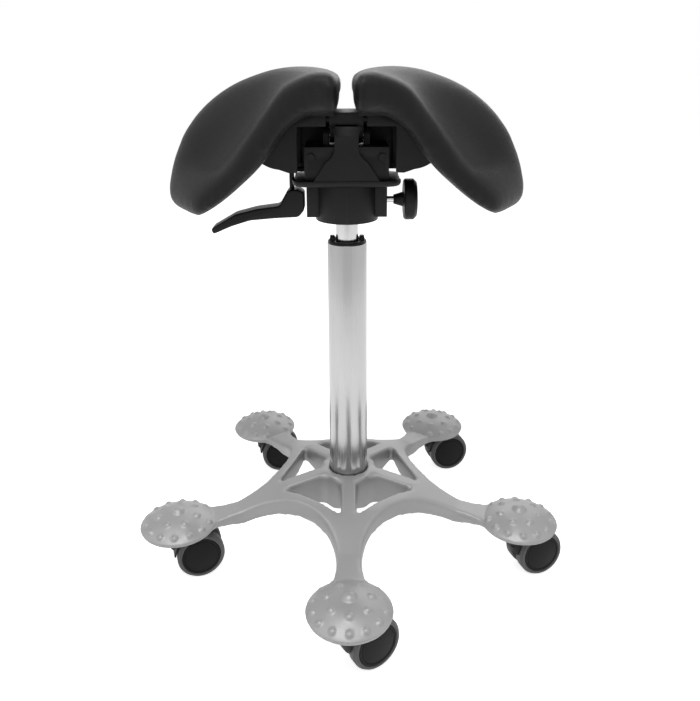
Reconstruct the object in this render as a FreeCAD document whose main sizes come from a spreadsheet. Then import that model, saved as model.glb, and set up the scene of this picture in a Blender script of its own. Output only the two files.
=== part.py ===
import FreeCAD, Part
import math
import os
import Sketcher

# Saddle stool with a split seat, gas lift column and five-star massage base.
# Millimetres, +Z up. The origin lies on the column's axis at floor level.
# The front of the stool faces -Y. Left and right are as seen from the front.

Vec = FreeCAD.Vector
doc = FreeCAD.newDocument("saddle_stool")
sheet = doc.addObject("Spreadsheet::Sheet", "Sizes")


class Size:
    """A length or angle with its value and the expression that drives it."""

    def __init__(self, value, text):
        self.v = value
        self.s = text

    def __add__(self, other):
        o = wrap(other)
        return Size(self.v + o.v, f"({self.s} + {o.s})")

    def __sub__(self, other):
        o = wrap(other)
        return Size(self.v - o.v, f"({self.s} - {o.s})")

    def __mul__(self, other):
        o = wrap(other)
        return Size(self.v * o.v, f"({self.s} * {o.s})")

    def __truediv__(self, other):
        o = wrap(other)
        return Size(self.v / o.v, f"({self.s} / {o.s})")

    def __neg__(self):
        return Size(-self.v, f"(0 - {self.s})")

    def __radd__(self, other):
        return wrap(other) + self

    def __rsub__(self, other):
        return wrap(other) - self

    def __rmul__(self, other):
        return wrap(other) * self


def wrap(x):
    return x if isinstance(x, Size) else Size(float(x), repr(float(x)))


def cosd(a):
    a = wrap(a)
    return Size(math.cos(math.radians(a.v)), f"cos({a.s} * 1 deg)")


def sind(a):
    a = wrap(a)
    return Size(math.sin(math.radians(a.v)), f"sin({a.s} * 1 deg)")


def root(a):
    a = wrap(a)
    return Size(math.sqrt(a.v), f"sqrt({a.s})")


def arc_radius(chord, rise):
    """Radius of the circle whose arc has this chord and rise."""
    return (chord * chord / 4 + rise * rise) / (rise * 2)


rows = iter(range(1, 400))


def size(alias, value, note):
    r = next(rows)
    sheet.set(f"A{r}", note)
    sheet.set(f"B{r}", str(value))
    sheet.setAlias(f"B{r}", alias)
    return Size(float(value), f"Sizes.{alias}")


# Gas lift column
tube_radius = size("tube_radius", 25, "column tube outer radius")
tube_wall = size("tube_wall", 2, "column tube wall")
tube_top = size("tube_top", 422, "column tube top height")
tube_foot = size("tube_foot", 58, "column tube bottom height")
tube_taper = size("tube_taper", 0.8, "loss of radius over the seat in the base")
floor_plate = size("floor_plate", 4, "thickness of the plate in the tube's foot")
sleeve_length = size("sleeve_length", 70, "guide sleeve length in the tube")
sleeve_lip = size("sleeve_lip", 3, "guide sleeve lip above the tube")
cylinder_radius = size("cylinder_radius", 14, "gas cylinder radius")
cylinder_wall = size("cylinder_wall", 1.5, "gas cylinder wall")
cylinder_foot = size("cylinder_foot", 108, "gas cylinder lower end at rest")
cone_taper = size("cone_taper", 0.9, "loss of radius over the top cone")
rod_radius = size("rod_radius", 5, "piston rod radius")
rod_top = size("rod_top", 330, "piston top height")
slide_play = size("slide_play", 0.05, "radial clearance of running fits")
seat_play = size("seat_play", 0.02, "radial clearance of fixed seats")
bearing_radius = size("bearing_radius", 12, "thrust bearing outer radius")
washer_thick = size("washer_thick", 1.6, "thrust washer thickness")
ball_radius = size("ball_radius", 2, "thrust ball radius")
ball_count = size("ball_count", 9, "number of thrust balls")
buffer_radius = size("buffer_radius", 11, "rubber buffer radius")
buffer_height = size("buffer_height", 24, "rubber buffer height")
clip_thick = size("clip_thick", 1.5, "retaining clip thickness")
clip_radius = size("clip_radius", 9, "retaining clip radius")

# Five-star base
arm_count = 5
pad_reach = size("pad_reach", 228, "pad centre from the column axis")
pad_radius = size("pad_radius", 48.5, "pad outer radius")
pad_rim = size("pad_rim", 71, "height of the pad's widest line")
pad_rise = size("pad_rise", 17, "rise of the dome above the rim")
pad_wall = size("pad_wall", 5, "pad shell thickness")
pad_under = size("pad_under", 65.5, "height of the pad's lower edge")
boss_radius = size("boss_radius", 12, "castor socket boss radius")
boss_foot = size("boss_foot", 63, "castor socket boss lower face")
socket_depth = size("socket_depth", 20, "castor socket depth")
hub_top = size("hub_top", 110, "hub top height")
hub_foot = size("hub_foot", 62, "hub boss lower face")
hub_radius = size("hub_radius", 33, "hub boss radius")
web_apex = size("web_apex", 99, "web top height at the outer arcs")
neck_top = size("neck_top", 77.5, "neck top height")
skirt_apex = size("skirt_apex", 76, "skirt lower edge at the outer arcs")
neck_foot = size("neck_foot", 60, "neck lower edge")
void_reach = size("void_reach", 189.2, "centre of the round void between two arms")
void_radius = size("void_radius", 96.2, "radius of the round void between two arms")
skirt_wall = size("skirt_wall", 4.5, "skirt wall thickness")
roof_wall = size("roof_wall", 6, "roof thickness of the arms")
arm_end = size("arm_end", 200, "reach of the arm webs")
window_hub = size("window_hub", 37, "inner radius of the windows")
window_side = size("window_side", 10, "half width of the rib beside a window")
window_reach = size("window_reach", 94, "reach of the window tips along the arm")
window_mid = size("window_mid", 79, "window outer edge on its centre line")
window_round = size("window_round", 8, "corner radius of the windows at the hub")
bump_cap = size("bump_cap", 4.6, "bump sphere radius")
bump_sink = size("bump_sink", 2.4, "depth of the bump centre below the dome")
knob_cap = size("knob_cap", 9.5, "centre bump sphere radius")
knob_sink = size("knob_sink", 4.7, "depth of the centre bump below the dome")
bump_ring_in = size("bump_ring_in", 24.8, "radius of the inner ring of bumps")
bump_ring_out = size("bump_ring_out", 40.4, "radius of the outer ring of bumps")

# Castors
wheel_radius = size("wheel_radius", 30, "castor wheel radius")
tread_depth = size("tread_depth", 5.5, "depth of the soft tread")
wheel_width = size("wheel_width", 15, "width of one wheel")
wheel_gap = size("wheel_gap", 5.2, "inner face of a wheel from the middle")
hood_half = size("hood_half", 4.7, "half width of the castor's web")
castor_trail = size("castor_trail", 24, "axle behind the stem")
stem_radius = size("stem_radius", 5.5, "castor stem radius")
hood_top = size("hood_top", 61, "castor housing top height")
axle_radius = size("axle_radius", 4, "castor axle radius")
axle_half = size("axle_half", 18, "half length of the castor axle")
fender_gap = size("fender_gap", 1.2, "clearance of the fender over the tread")
fender_wall = size("fender_wall", 2.2, "fender thickness")
fender_half = size("fender_half", 15, "half width of the fender")

# Mechanism
drum_radius = size("drum_radius", 38.6, "mechanism drum radius")
drum_foot = size("drum_foot", 452, "mechanism drum lower face")
drum_rise = size("drum_rise", 46, "height of the mechanism drum")
drum_top = drum_foot + drum_rise
wing_half = size("wing_half", 49, "half width over the drum's side wings")
wing_depth = size("wing_depth", 34, "half depth of the side wings")
wing_lift = size("wing_lift", 5, "side wing lower edge over the drum's")
wing_foot = drum_foot + wing_lift
plate_half = size("plate_half", 64, "half width of the mechanism plate")
plate_thick = size("plate_thick", 7, "mechanism plate thickness")
plate_depth = size("plate_depth", 44, "half depth of the mechanism plate")
plate_end = size("plate_end", 20, "half length of the plate's flat sides")
plate_bow = size("plate_bow", 7, "bow of the plate's rounded ends")
plate_corner = size("plate_corner", 16, "width of the plate's rounded ends")
plate_top = drum_top + plate_thick
block_half = size("block_half", 50, "half width of the mechanism block")
block_rise = size("block_rise", 40, "height of the mechanism block")
block_top = plate_top + block_rise
block_depth = size("block_depth", 36, "half depth of the mechanism block")
cover_face = size("cover_face", 43, "cover front face from the axis")
cover_foot_half = size("cover_foot_half", 39.5, "cover half width at its foot")
cover_waist_half = size("cover_waist_half", 14.2, "cover half width at its waist")
cover_head_half = size("cover_head_half", 18, "cover half width at its head")
tilt_rise = size("tilt_rise", 11, "tilt pin over the block")
tilt_height = block_top + tilt_rise
cover_rise = size("cover_rise", 13, "cover top over the tilt pin")
cover_head = tilt_height + cover_rise
cover_knee_half = size("cover_knee_half", 24.5, "cover half width over its foot")
cover_flare = size("cover_flare", 11, "height of the flare at the cover's head")
cover_knee = size("cover_knee", 23, "height of the cover's foot")
tilt_pin_radius = size("tilt_pin_radius", 5, "tilt pin radius")
screw_edge = size("screw_edge", 8, "cover screws from the block's sides")
screw_below = size("screw_below", 12, "cover screws below the block's top")
screw_head = size("screw_head", 4.5, "cover screw head radius")
screw_cap = size("screw_cap", 2.6, "cover screw head height")
screw_shank = size("screw_shank", 2.5, "cover screw shank radius")
screw_depth = size("screw_depth", 11, "cover screw shank length")
ear_round = size("ear_round", 11, "outer radius of the tilt ears")
ear_thick = size("ear_thick", 8, "tilt ear thickness")
lug_thick = size("lug_thick", 8, "thickness of the carrier's lugs")
lug_round = size("lug_round", 10, "outer radius of the carrier's lugs")
carrier_half = size("carrier_half", 20, "half width of the carrier block")
carrier_lift = size("carrier_lift", 14.6, "carrier block lower face over the tilt pin")
carrier_foot = tilt_height + carrier_lift
carrier_thick = size("carrier_thick", 14.4, "carrier block thickness")
carrier_top = carrier_foot + carrier_thick
rail_lift = size("rail_lift", 6.9, "guide rail middle over the carrier's lower face")
rail_height = carrier_foot + rail_lift
rail_radius = size("rail_radius", 5, "guide rail radius")
rail_spread = size("rail_spread", 26, "guide rails from the middle, front and back")
rail_cover = size("rail_cover", 7, "carrier beyond the rails' middle, front and back")
carrier_depth = rail_spread + rail_cover
rail_half = size("rail_half", 60, "half length of the guide rails")
bracket_in = size("bracket_in", 24, "inner face of the seat bracket")
bracket_out = size("bracket_out", 58, "outer face of the seat bracket")
bracket_depth = size("bracket_depth", 42, "half depth of the seat bracket")
bracket_wall = size("bracket_wall", 3, "bracket wall under the rails")
bracket_foot = rail_height - rail_radius - bracket_wall
gusset_thick = size("gusset_thick", 6, "thickness of the bracket's side plates")
gusset_drop = size("gusset_drop", 73, "side plates below the pan")
gusset_reach = size("gusset_reach", 92, "side plates from the middle")
knob_radius = size("knob_radius", 25.5, "hand knob radius")
knob_thick = size("knob_thick", 16, "hand knob thickness")
knob_face = size("knob_face", 70, "inner face of the hand knob")
knob_lift = size("knob_lift", 24, "hand knob over the drum's lower face")
knob_height = drum_foot + knob_lift
knob_stem = size("knob_stem", 9.5, "hand knob neck radius")
knob_clear = size("knob_clear", 8.5, "knob neck beside the drum's wing")
spindle_grip = size("spindle_grip", 14, "knob spindle in the wing")
spindle_sink = size("spindle_sink", 8, "knob spindle in the knob")
screw_radius = size("screw_radius", 4, "hand knob spindle radius")
lever_lift = size("lever_lift", 9, "lever rod over the mechanism plate")
lever_height = plate_top + lever_lift
lever_eye = size("lever_eye", 6, "lever pin inside the block's face")
lever_eye_radius = size("lever_eye_radius", 5.5, "radius of the lever rod's eye")
lever_pin_radius = size("lever_pin_radius", 2, "lever pin radius")
lever_pin_grip = size("lever_pin_grip", 8.5, "lever pin in the block, each side")
lever_slot = size("lever_slot", 13, "width of the lever's slot in the block")
lever_room = size("lever_room", 11, "slot over the lever rod")
lever_reach = size("lever_reach", 100.4, "paddle tip from the rod")
rod_gap = size("rod_gap", 0.6, "lever rod beside the plate")
lever_pivot = size("lever_pivot", 50, "lever pivot from the axis")
lever_rod_radius = size("lever_rod_radius", 3, "lever rod radius")
lever_sink = size("lever_sink", 46, "lower end of the lever rod below its height")
lever_depth = size("lever_depth", 28, "lever paddle depth")
button_radius = size("button_radius", 5, "release button radius")
button_rest = size("button_rest", 0.3, "gap between lever rod and button")

# Seat
seat_front = size("seat_front", 168, "seat front from the axis")
seat_back = size("seat_back", 172, "seat back from the axis")
seat_gap = size("seat_gap", 5.6, "inner face of a seat half from the middle")
seat_crown = size("seat_crown", 46, "height of the seat's ridge line over the pan")
seat_reach = size("seat_reach", 226, "outer reach of a seat half")
seat_drop = size("seat_drop", 170, "drop of a seat half's outer edge")
pan_clear = size("pan_clear", 1, "seat pan over the carrier")
pan_thick = size("pan_thick", 6, "seat pan thickness")
pan_in = size("pan_in", 14, "inner edge of the seat pan")
pan_out = size("pan_out", 70, "outer edge of the seat pan")
pan_front = size("pan_front", 100, "front edge of the seat pan")
pan_back = size("pan_back", 110, "back edge of the seat pan")

doc.recompute()
nodes = {}


def node(label, obj):
    obj.Label = label
    nodes[label] = obj
    return obj


def bind(obj, **props):
    for key, value in props.items():
        obj.setExpression(key.replace("__", "."), wrap(value).s)
    return obj


def place(obj, x=0, y=0, z=0, axis=None, angle=0):
    """Bind an object's place, and turn it about an axis by an angle in degrees."""
    for key, value in (("x", x), ("y", y), ("z", z)):
        obj.setExpression(f"Placement.Base.{key}", wrap(value).s)
    if axis is not None:
        obj.Placement.Rotation = FreeCAD.Rotation(Vec(*axis), angle)
    return obj


def cylinder(name, radius, height, **at):
    obj = doc.addObject("Part::Cylinder", name)
    bind(obj, Radius=radius, Height=height)
    return place(obj, **at)


def box(name, length, width, height, **at):
    obj = doc.addObject("Part::Box", name)
    bind(obj, Length=length, Width=width, Height=height)
    return place(obj, **at)


def fuse(name, *parts):
    obj = doc.addObject("Part::MultiFuse", name)
    obj.Shapes = list(parts)
    obj.Refine = True
    return obj


def cut(name, base, *tools):
    tool = tools[0] if len(tools) == 1 else fuse(name + "_tools", *tools)
    obj = doc.addObject("Part::Cut", name)
    obj.Base = base
    obj.Tool = tool
    obj.Refine = True
    return obj


def common(name, *parts):
    obj = doc.addObject("Part::MultiCommon", name)
    obj.Shapes = list(parts)
    return obj


def outline(sketch, points):
    """Closed outline. A point is (x, y) or (x, y, rise): rise bows its next side to the left."""
    n = len(points)
    pts = [(wrap(p[0]), wrap(p[1])) for p in points]
    ids = []
    ends = []
    for i, p in enumerate(points):
        a = Vec(pts[i][0].v, pts[i][1].v, 0)
        b = Vec(pts[(i + 1) % n][0].v, pts[(i + 1) % n][1].v, 0)
        if len(p) > 2:
            rise = wrap(p[2])
            d = (b - a).normalize()
            mid = (a + b) * 0.5 + Vec(-d.y, d.x, 0) * rise.v
            if rise.v > 0:
                ids.append(sketch.addGeometry(Part.Arc(b, mid, a), False))
                ends.append((2, 1))
            else:
                ids.append(sketch.addGeometry(Part.Arc(a, mid, b), False))
                ends.append((1, 2))
        else:
            ids.append(sketch.addGeometry(Part.LineSegment(a, b), False))
            ends.append((1, 2))
    for i in range(n):
        j = (i + 1) % n
        sketch.addConstraint(
            Sketcher.Constraint("Coincident", ids[i], ends[i][1], ids[j], ends[j][0])
        )
    for i in range(n):
        for kind, value in (("DistanceX", pts[i][0]), ("DistanceY", pts[i][1])):
            c = sketch.addConstraint(
                Sketcher.Constraint(kind, -1, 1, ids[i], ends[i][0], value.v)
            )
            sketch.setExpression(f"Constraints[{c}]", value.s)
    for i, p in enumerate(points):
        if len(p) > 2:
            x0, y0 = pts[i]
            x1, y1 = pts[(i + 1) % n]
            rise = wrap(p[2])
            dx, dy = x1 - x0, y1 - y0
            chord = root(dx * dx + dy * dy)
            mx = (x0 + x1) / 2 - dy / chord * rise
            my = (y0 + y1) / 2 + dx / chord * rise
            spot = sketch.addGeometry(Part.Point(Vec(mx.v, my.v, 0)), True)
            sketch.addConstraint(Sketcher.Constraint("PointOnObject", spot, 1, ids[i]))
            for kind, value in (("DistanceX", mx), ("DistanceY", my)):
                c = sketch.addConstraint(
                    Sketcher.Constraint(kind, -1, 1, spot, 1, value.v)
                )
                sketch.setExpression(f"Constraints[{c}]", value.s)


def body_sketch(name, plane, points):
    body = doc.addObject("PartDesign::Body", name)
    sketch = body.newObject("Sketcher::SketchObject", name + "_profile")
    base = [o for o in body.Origin.OriginFeatures if o.Role == plane][0]
    sketch.AttachmentSupport = [(base, "")]
    sketch.MapMode = "FlatFace"
    outline(sketch, points)
    return body, sketch


def turned(name, points):
    """A body turned about Z from a profile of (radius, height) points."""
    body, sketch = body_sketch(name, "XZ_Plane", points)
    turn = body.newObject("PartDesign::Revolution", name + "_turn")
    turn.Profile = sketch
    turn.ReferenceAxis = (sketch, ["V_Axis"])
    turn.Angle = 360
    body.Tip = turn
    return body


def padded(name, plane, points, length, both=True, start=0):
    """A body padded from an outline, on both sides of its plane."""
    body, sketch = body_sketch(name, plane, points)
    pad = body.newObject("PartDesign::Pad", name + "_pad")
    pad.Profile = sketch
    pad.Midplane = both
    pad.setExpression("Length", wrap(length).s)
    body.Tip = pad
    return body


def feature(label, shape):
    obj = doc.addObject("Part::Feature", label)
    obj.Shape = shape
    return obj


# Gas lift column: a tube whose foot tapers into the hub, with its floor plate
tube_inner = tube_radius - tube_wall
foot_radius = tube_radius - tube_taper
node("column_tube", turned("column_tube", [
    (rod_radius + slide_play, tube_foot),
    (foot_radius, tube_foot),
    (tube_radius, hub_top),
    (tube_radius, tube_top),
    (tube_inner, tube_top),
    (tube_inner, hub_top),
    (foot_radius - tube_wall, tube_foot + floor_plate),
    (rod_radius + slide_play, tube_foot + floor_plate),
]))

sleeve_inner = cylinder_radius + slide_play
node("guide_sleeve", turned("guide_sleeve", [
    (sleeve_inner, tube_top - sleeve_length),
    (tube_inner - seat_play, tube_top - sleeve_length),
    (tube_inner - seat_play, tube_top),
    (tube_radius - 0.8, tube_top),
    (tube_radius - 0.8, tube_top + sleeve_lip - 1),
    (tube_radius - 2.2, tube_top + sleeve_lip),
    (sleeve_inner + 3.5, tube_top + sleeve_lip),
    (sleeve_inner + 2.5, tube_top + 0.8),
    (sleeve_inner, tube_top + 0.8),
]))

# Thrust bearing on the floor plate, with the piston rod standing on it
bearing_floor = tube_foot + floor_plate
race_inner = rod_radius + slide_play
washer_top = bearing_floor + washer_thick
balls_mid = washer_top + ball_radius
upper_floor = washer_top + ball_radius * 2
upper_top = upper_floor + washer_thick


def washer(label, low):
    return node(label, turned(label, [
        (race_inner + 0.4, low),
        (bearing_radius, low),
        (bearing_radius, low + washer_thick),
        (race_inner + 0.4, low + washer_thick),
    ]))


washer("bearing_washer_lower", bearing_floor)
washer("bearing_washer_upper", upper_floor)
ball_ring = (race_inner + bearing_radius) / 2
balls = []
for i in range(int(ball_count.v)):
    ball = doc.addObject("Part::Sphere", f"ball_{i}")
    ball.setExpression("Radius", (ball_radius - 0.02).s)
    turn_by = 360.0 * i / int(ball_count.v)
    place(ball, x=ball_ring * cosd(turn_by), y=ball_ring * sind(turn_by), z=balls_mid)
    balls.append(ball)
group = doc.addObject("Part::Compound", "bearing_balls")
group.Links = balls
node("bearing_balls", group)

rod_shoulder = upper_top
piston_radius = cylinder_radius - cylinder_wall - slide_play
clip_top = tube_foot - 0.3
node("piston_rod", turned("piston_rod", [
    (0, clip_top - clip_thick * 2),
    (rod_radius - 1, clip_top - clip_thick * 2),
    (rod_radius - 1, rod_shoulder),
    (rod_radius, rod_shoulder + 1),
    (rod_radius, rod_top - 16),
    (piston_radius, rod_top - 16),
    (piston_radius, rod_top),
    (0, rod_top),
]))
node("rod_clip", turned("rod_clip", [
    (rod_radius - 1 + seat_play, clip_top - clip_thick),
    (clip_radius, clip_top - clip_thick),
    (clip_radius, clip_top),
    (rod_radius - 1 + seat_play, clip_top),
]))
node("rubber_buffer", turned("rubber_buffer", [
    (rod_radius + 0.3, upper_top),
    (buffer_radius, upper_top),
    (buffer_radius - 1.5, upper_top + buffer_height * 0.4),
    (buffer_radius, upper_top + buffer_height * 0.8),
    (buffer_radius - 1.5, upper_top + buffer_height),
    (rod_radius + 0.3, upper_top + buffer_height),
]))

# Gas cylinder with its top cone, which seats in the drum
cylinder_inner = cylinder_radius - cylinder_wall
cone_top = drum_top + plate_thick
node("gas_cylinder", turned("gas_cylinder", [
    (rod_radius + slide_play, cylinder_foot),
    (cylinder_radius - 1.5, cylinder_foot),
    (cylinder_radius, cylinder_foot + 1.5),
    (cylinder_radius, drum_foot),
    (cylinder_radius - cone_taper, cone_top),
    (button_radius + slide_play, cone_top),
    (button_radius + slide_play, drum_top - 12),
    (cylinder_inner - 2, drum_top - 12),
    (cylinder_inner, drum_foot - 4),
    (cylinder_inner, cylinder_foot + 14),
    (rod_radius + slide_play, cylinder_foot + 14),
]))
button_top = lever_height - lever_rod_radius - button_rest
node("release_button", turned("release_button", [
    (0, drum_top - 6),
    (button_radius, drum_top - 6),
    (button_radius, button_top - 1),
    (button_radius - 1, button_top),
    (0, button_top),
]))

# Five-star base: the web turned, then the voids, the windows and the hollow taken out
dome_radius = arc_radius(pad_radius * 2, pad_rise)
dome_centre = pad_rim + pad_rise - dome_radius


def web_solid(name, inset):
    """Web of the arms. The inset is 0 outside and the wall thickness inside."""
    low = 30 if inset else 0
    drop = roof_wall if inset else 0
    return turned(name, [
        (0, hub_foot - low),
        (hub_radius, hub_foot - low),
        (hub_radius + 27, skirt_apex - 7 - low),
        (void_reach - void_radius, skirt_apex - low),
        (150, neck_foot - low),
        (175, neck_foot + 3 - low),
        (arm_end, pad_under - low),
        (arm_end, pad_rim + 1 - drop),
        (178, neck_top - 2 - drop),
        (150, neck_top + 1.5 - drop),
        (void_reach - void_radius, web_apex - drop),
        (hub_radius + 2, hub_top - drop),
        (0, hub_top - drop),
    ])


def window_points(margin):
    side = window_side - margin
    half = 180.0 / arm_count
    near = window_hub - margin
    along = root(near * near - side * side)
    reach = window_reach + margin * 1.6
    x0 = along * cosd(half) + side * sind(half)
    y0 = along * sind(half) - side * cosd(half)
    x1 = reach * cosd(half) + side * sind(half)
    y1 = reach * sind(half) - side * cosd(half)
    return x0, y0, x1, y1, near, window_mid + margin


def window_tool(name, margin):
    x0, y0, x1, y1, near, mid = window_points(wrap(margin))
    body = padded(name, "XY_Plane", [
        (x0, -y0),
        (x1, -y1, x1 - mid),
        (x1, y1),
        (x0, y0, near - x0),
    ], hub_top * 4)
    return body


web = web_solid("web", None)
web_core = web_solid("web_core", skirt_wall)
window_body = window_tool("window", 0)
window_wall = window_tool("window_wall", skirt_wall * 0.9)
doc.recompute()


def arms(shape, start=0.0):
    """Copies of a shape about the column, one for each arm."""
    out = []
    for k in range(arm_count):
        s = shape.copy()
        s.rotate(Vec(), Vec(0, 0, 1), start + 360.0 / arm_count * k)
        out.append(s)
    return out


half_turn = 180.0 / arm_count
first_arm = -90.0
between = first_arm + half_turn


def void_tool(margin):
    s = Part.makeCylinder(void_radius.v + margin, 300, Vec(void_reach.v, 0, -50))
    return Part.makeCompound(arms(s, between))


def window_prism(body, round_by):
    s = body.Shape.copy()
    posts = [
        e for e in s.Edges
        if len(e.Vertexes) == 2
        and abs(e.Vertexes[0].X - e.Vertexes[1].X) < 1e-6
        and abs(e.Vertexes[0].Y - e.Vertexes[1].Y) < 1e-6
    ]
    inner = [e for e in posts if e.Vertexes[0].X < window_mid.v * 0.7]
    tips = [e for e in posts if e.Vertexes[0].X >= window_mid.v * 0.7]
    s = s.makeFillet(round_by, inner)
    posts = [
        e for e in s.Edges
        if len(e.Vertexes) == 2
        and (Vec(e.Vertexes[0].Point) - Vec(e.Vertexes[1].Point)).x ** 2 < 1e-9
        and (Vec(e.Vertexes[0].Point) - Vec(e.Vertexes[1].Point)).y ** 2 < 1e-9
        and e.Vertexes[0].X >= window_mid.v * 0.9
    ]
    return s.makeFillet(min(2.5, round_by), posts)


star = web.Shape.cut(void_tool(0))
windows = Part.makeCompound(arms(window_prism(window_body, window_round.v), between))
hollow = web_core.Shape.cut(void_tool(skirt_wall.v))
walls = Part.makeCompound(arms(window_prism(window_wall, window_round.v + 2), between))
hollow = hollow.cut(walls)
hollow = hollow.cut(Part.makeCylinder(hub_radius.v, 300))
star = star.cut(hollow)
star = star.cut(windows)

# One massage pad: a dome with its castor socket and its rounded bumps
def sagitta(radius, chord_square):
    return radius - root(radius * radius - chord_square / 4)


pad_crown = pad_rim + pad_rise
inner_radius = pad_radius - pad_wall
dome = turned("dome", [
    (0, pad_under),
    (pad_radius - 3, pad_under),
    (pad_radius, pad_rim, -sagitta(
        dome_radius, pad_radius * pad_radius + pad_rise * pad_rise)),
    (0, pad_crown),
])
inner_rise = pad_rise - 1
inner_dome = arc_radius(inner_radius * 2, inner_rise)
dome_inside = turned("dome_inside", [
    (0, pad_under - 10),
    (inner_radius, pad_under - 10),
    (inner_radius, pad_crown - pad_wall - inner_rise, -sagitta(
        inner_dome, inner_radius * inner_radius + inner_rise * inner_rise)),
    (0, pad_crown - pad_wall),
])
boss = cylinder("socket_boss", boss_radius, pad_crown - boss_foot - 3, z=boss_foot)
socket = cylinder("socket", stem_radius + slide_play, socket_depth + 5, z=boss_foot - 5)


def bump_height(r, sink):
    up = root(dome_radius * dome_radius - r * r)
    return dome_centre + up * (dome_radius - sink) / dome_radius


def bump(name, r, turn_by, cap, sink):
    ball = doc.addObject("Part::Sphere", name)
    ball.setExpression("Radius", cap.s)
    lean = (dome_radius - sink) / dome_radius
    return place(ball, x=r * lean * cosd(turn_by), y=r * lean * sind(turn_by),
                 z=bump_height(wrap(r), sink))


bumps = [bump("centre_bump", wrap(0), 0, knob_cap, knob_sink)]
for i in range(7):
    bumps.append(bump(f"inner_bump_{i}", bump_ring_in, 360.0 / 7 * i, bump_cap, bump_sink))
for i in range(-5, 6):
    bumps.append(bump(f"outer_bump_{i + 5}", bump_ring_out, 360.0 / 14 * i,
                      bump_cap - 0.4, bump_sink))
dome_hollow = cut("dome_hollow", dome_inside, boss)
pad_solid = fuse("pad_solid", dome, *bumps)
bore = turned("tube_bore", [
    (0, tube_foot - 20),
    (foot_radius + seat_play, tube_foot - 20),
    (foot_radius + seat_play, tube_foot),
    (tube_radius + seat_play, hub_top),
    (tube_radius + seat_play, hub_top + 20),
    (0, hub_top + 20),
])
doc.recompute()


def on_arms(shape):
    s = shape.copy()
    s.translate(Vec(pad_reach.v, 0, 0))
    return arms(s, first_arm)


star = star.cut(Part.makeCompound(on_arms(dome_hollow.Shape)))
pad_shape = pad_solid.Shape.fuse(boss.Shape).cut(dome_hollow.Shape)
star = star.fuse(on_arms(pad_shape))
star = star.cut(Part.makeCompound(on_arms(socket.Shape)))
star = star.cut(bore.Shape)
if star.ShapeType == "Compound" and len(star.Solids) == 1:
    star = star.Solids[0]
node("star_base", feature("star_base", star))

# Castor pieces, modelled about their own stem with the wheels trailing to +X
lump = padded("castor_web", "XZ_Plane", [
    (-boss_radius, hood_top - 22),
    (-boss_radius, hood_top),
    (boss_radius, hood_top),
    (castor_trail, wheel_radius + fender_gap + wheel_radius + fender_wall * 0.8),
    (castor_trail + 16.5, wheel_radius + 28.5),
    (castor_trail + 17, wheel_radius),
    (castor_trail + 10, wheel_radius - 12),
    (castor_trail - 10, wheel_radius - 12),
], hood_half * 2)
housing_post = cylinder("castor_post", boss_radius, 20, z=hood_top - 20)
fender_in = wheel_radius + fender_gap
fender_body, fender_sketch = body_sketch("castor_fender", "XZ_Plane", [
    (castor_trail - (fender_in + fender_wall) * cosd(5),
     wheel_radius + (fender_in + fender_wall) * sind(5),
     sagitta(fender_in + fender_wall, (fender_in + fender_wall)
             * (fender_in + fender_wall) * (2 - 2 * cosd(115)))),
    (castor_trail + (fender_in + fender_wall) * cosd(60),
     wheel_radius + (fender_in + fender_wall) * sind(60)),
    (castor_trail + fender_in * cosd(60), wheel_radius + fender_in * sind(60),
     -sagitta(fender_in, fender_in * fender_in * (2 - 2 * cosd(115)))),
    (castor_trail - fender_in * cosd(5), wheel_radius + fender_in * sind(5)),
])
fender = fender_body.newObject("PartDesign::Pad", "fender_pad")
fender.Profile = fender_sketch
fender.Midplane = True
fender.setExpression("Length", (fender_half * 2).s)
fender_body.Tip = fender
clear_left = cylinder("clear_left", fender_in, 60, x=castor_trail, y=hood_half,
                      z=wheel_radius, axis=(1, 0, 0), angle=-90)
clear_right = cylinder("clear_right", fender_in, 60, x=castor_trail, y=-hood_half,
                       z=wheel_radius, axis=(1, 0, 0), angle=90)
stem_hole = cylinder("stem_hole", stem_radius + seat_play, 60, z=hood_top - boss_radius)
axle_hole = cylinder("axle_hole", axle_radius + seat_play, 60, x=castor_trail, y=30,
                     z=wheel_radius, axis=(1, 0, 0), angle=90)
hood_proto = cut("hood_proto", fuse("hood_lump", lump, housing_post, fender_body),
                 clear_left, clear_right, stem_hole, axle_hole)
stem_proto = cylinder("stem_proto", stem_radius,
                      boss_foot + socket_depth - 1 - hood_top + boss_radius,
                      z=hood_top - boss_radius)
axle_proto = cylinder("axle_proto", axle_radius, axle_half * 2, x=castor_trail,
                      y=-axle_half, z=wheel_radius, axis=(1, 0, 0), angle=-90)
pins_proto = doc.addObject("Part::Compound", "pins_proto")
pins_proto.Links = [stem_proto, axle_proto]
rim = wheel_radius - tread_depth
bore_depth = axle_half - wheel_gap + 0.4
core_proto = turned("core_proto", [
    (axle_radius + slide_play, 0),
    (rim, 0),
    (rim, wheel_width - 0.8),
    (rim - 0.8, wheel_width),
    (rim - 2.8, wheel_width),
    (rim - 3.1, wheel_width - 0.7),
    (rim - 3.9, wheel_width - 0.7),
    (rim - 4.2, wheel_width),
    (0, wheel_width),
    (0, bore_depth),
    (axle_radius + slide_play, bore_depth),
])
tread_proto = turned("tread_proto", [
    (rim, 0.6),
    (wheel_radius - 1.4, 0.6),
    (wheel_radius, 2.2),
    (wheel_radius, wheel_width - 3.2, 0.5),
    (wheel_radius - 1.8, wheel_width - 0.4),
    (rim + 0.6, wheel_width + 0.2),
    (rim, wheel_width - 0.4),
])
doc.recompute()

castor_turns = {
    "front": (-90.0, 32.0),
    "front_right": (-18.0, 19.0),
    "back_right": (54.0, 14.0),
    "back_left": (126.0, 12.0),
    "front_left": (198.0, 19.0),
}


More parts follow.
